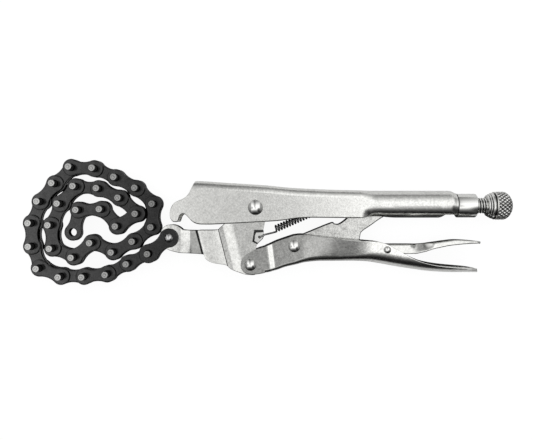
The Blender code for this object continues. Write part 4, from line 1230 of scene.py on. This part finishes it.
release = {
    "half": [(73.0, 6.0), (110.0, 6.0), (122.0, 5.7), (136.0, 5.0), (143.0, 4.2), (146.0, 3.2)],
    "sheet": 1.5, "edge": 0.6, "spans": [(73.0, 98.0, 14), (99.5, 142.0, 40), (142.8, 145.9, 6)],
    "slope": [(72.8, 0.0), (98.0, 0.0), (101.5, 0.25), (105.0, 0.7), (109.5, 0.75), (112.5, 0.4),
              (116.0, 0.1), (124.0, 0.2),
              (146.0, 0.3)],
    "top": [(72.8, -25.6), (80.4, -24.0), (86.0, -23.6), (102.2, -23.6), (107.0, -23.4), (114.0, -22.7),
            (122.6, -21.5),
            (130.0, -20.75), (138.6, -21.2), (143.0, -21.7), (146.0, -22.1)],
    "bottom": [(72.8, -30.0), (80.0, -30.4), (90.5, -30.3), (97.0, -30.0), (102.2, -29.6), (108.0, -28.4),
               (118.3, -26.1),
               (126.3, -24.5), (138.0, -23.4), (146.0, -23.1)],
    "fold": [(72.8, 1.6), (98.0, 1.6), (104.0, 1.2), (111.0, 1.2), (118.0, 1.6), (146.0, 0.9)],
}


def buildRelease():
    bm = bmesh.new()
    rings = []
    for x in stretches(release["spans"]):
        half, fold = heightAt(release["half"], x), heightAt(release["fold"], x)
        top, low = heightAt(release["top"], x), heightAt(release["bottom"], x)
        fold = min(fold, half - 0.2, top - low - 0.7)
        tilt = math.atan(heightAt(release["slope"], x))
        high = top - fold * (1 - math.sin(tilt))
        side = []
        for share in (0.0, 0.4, 0.7, 0.97):
            rise = (high - low) * share
            side.append(((low + rise, half - rise * math.tan(tilt)), (math.sin(tilt), math.cos(tilt))))
        centerY = high - fold * math.sin(tilt)
        centerZ = half - (high - low) * math.tan(tilt) - fold * math.cos(tilt)
        for i in range(9):
            angle = mixed(tilt, math.pi / 2, i / 8)
            across, up = math.sin(angle), math.cos(angle)
            side.append(((centerY + fold * across, centerZ + fold * up), (across, up)))
        path = bothSides(side + [((top, 0.0), (1.0, 0.0))])
        rings.append(sheetRing(x, path, release["sheet"], release["edge"]))
    # Painted shade: the lever's inner side takes the near-black metal
    joinRings(bm, rings, slotFor=paintedShadeInside(path))
    finishPiece("releaseLever", bm, ["blastedNickel", "shadedNickel"], "release_lever", ["release_lever"])


buildLowerHandle()
buildToggle()
buildRelease()
print("stage: lower handle built")


# Spring


def buildSpring():
    along = Vector((math.cos(math.radians(spring["angle"])), math.sin(math.radians(spring["angle"])), 0.0))
    side = Vector((-along.y, along.x, 0.0))
    up = Vector((0.0, 0.0, 1.0))
    start = Vector((*spring["start"], 0.0))
    eye, stub = Vector((*spring["eye"], 0.0)), Vector((*spring["stub"], 0.0))
    points = [eye + up * 1.2 - along * 0.2, eye + up * 2.8 - along * 0.15, eye + up * 3.7 + along * 0.15,
              eye + up * 4.15 + along * 0.8, eye + up * 4.2 + along * 1.6, stub + up * 3.9]
    first = start - side * spring["radius"]
    for share in (0.25, 0.5, 0.75):
        points.append((stub + up * 3.9).lerp(first - along * 0.6, share))
    for step in range(spring["curls"] * 16 + 1):
        turn = math.pi + 2 * math.pi * step / 16
        away = side * math.cos(turn) + up * math.sin(turn)
        points.append(start + along * spring["pitch"] * step / 16 + away * spring["radius"])
    end = start + along * spring["pitch"] * spring["curls"]
    post = Vector((*spring["post"], 0.0))
    reach = spring["postRadius"] + spring["wire"]
    points += [end + along * 0.7 - side * spring["radius"] * 0.5, end + along * 1.2]
    back = (post - points[-1]).normalized()
    across = Vector((-back.y, back.x, 0.0))
    points += [points[-1].lerp(post - back * reach + across * reach, share) for share in (0.5, 0.9)]
    for step in range(8):
        angle = math.radians(100 - 36 * step)
        points.append(post + (back * math.cos(angle) + across * math.sin(angle)) * reach)
    bm = bmesh.new()
    tube(bm, points, spring["wire"], 10)
    piece = finishPiece("tensionSpring", bm, ["springWire"], None, ["tension_spring"],
                        sharp=80.0)
    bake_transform(piece)


buildSpring()
print("stage: spring built")
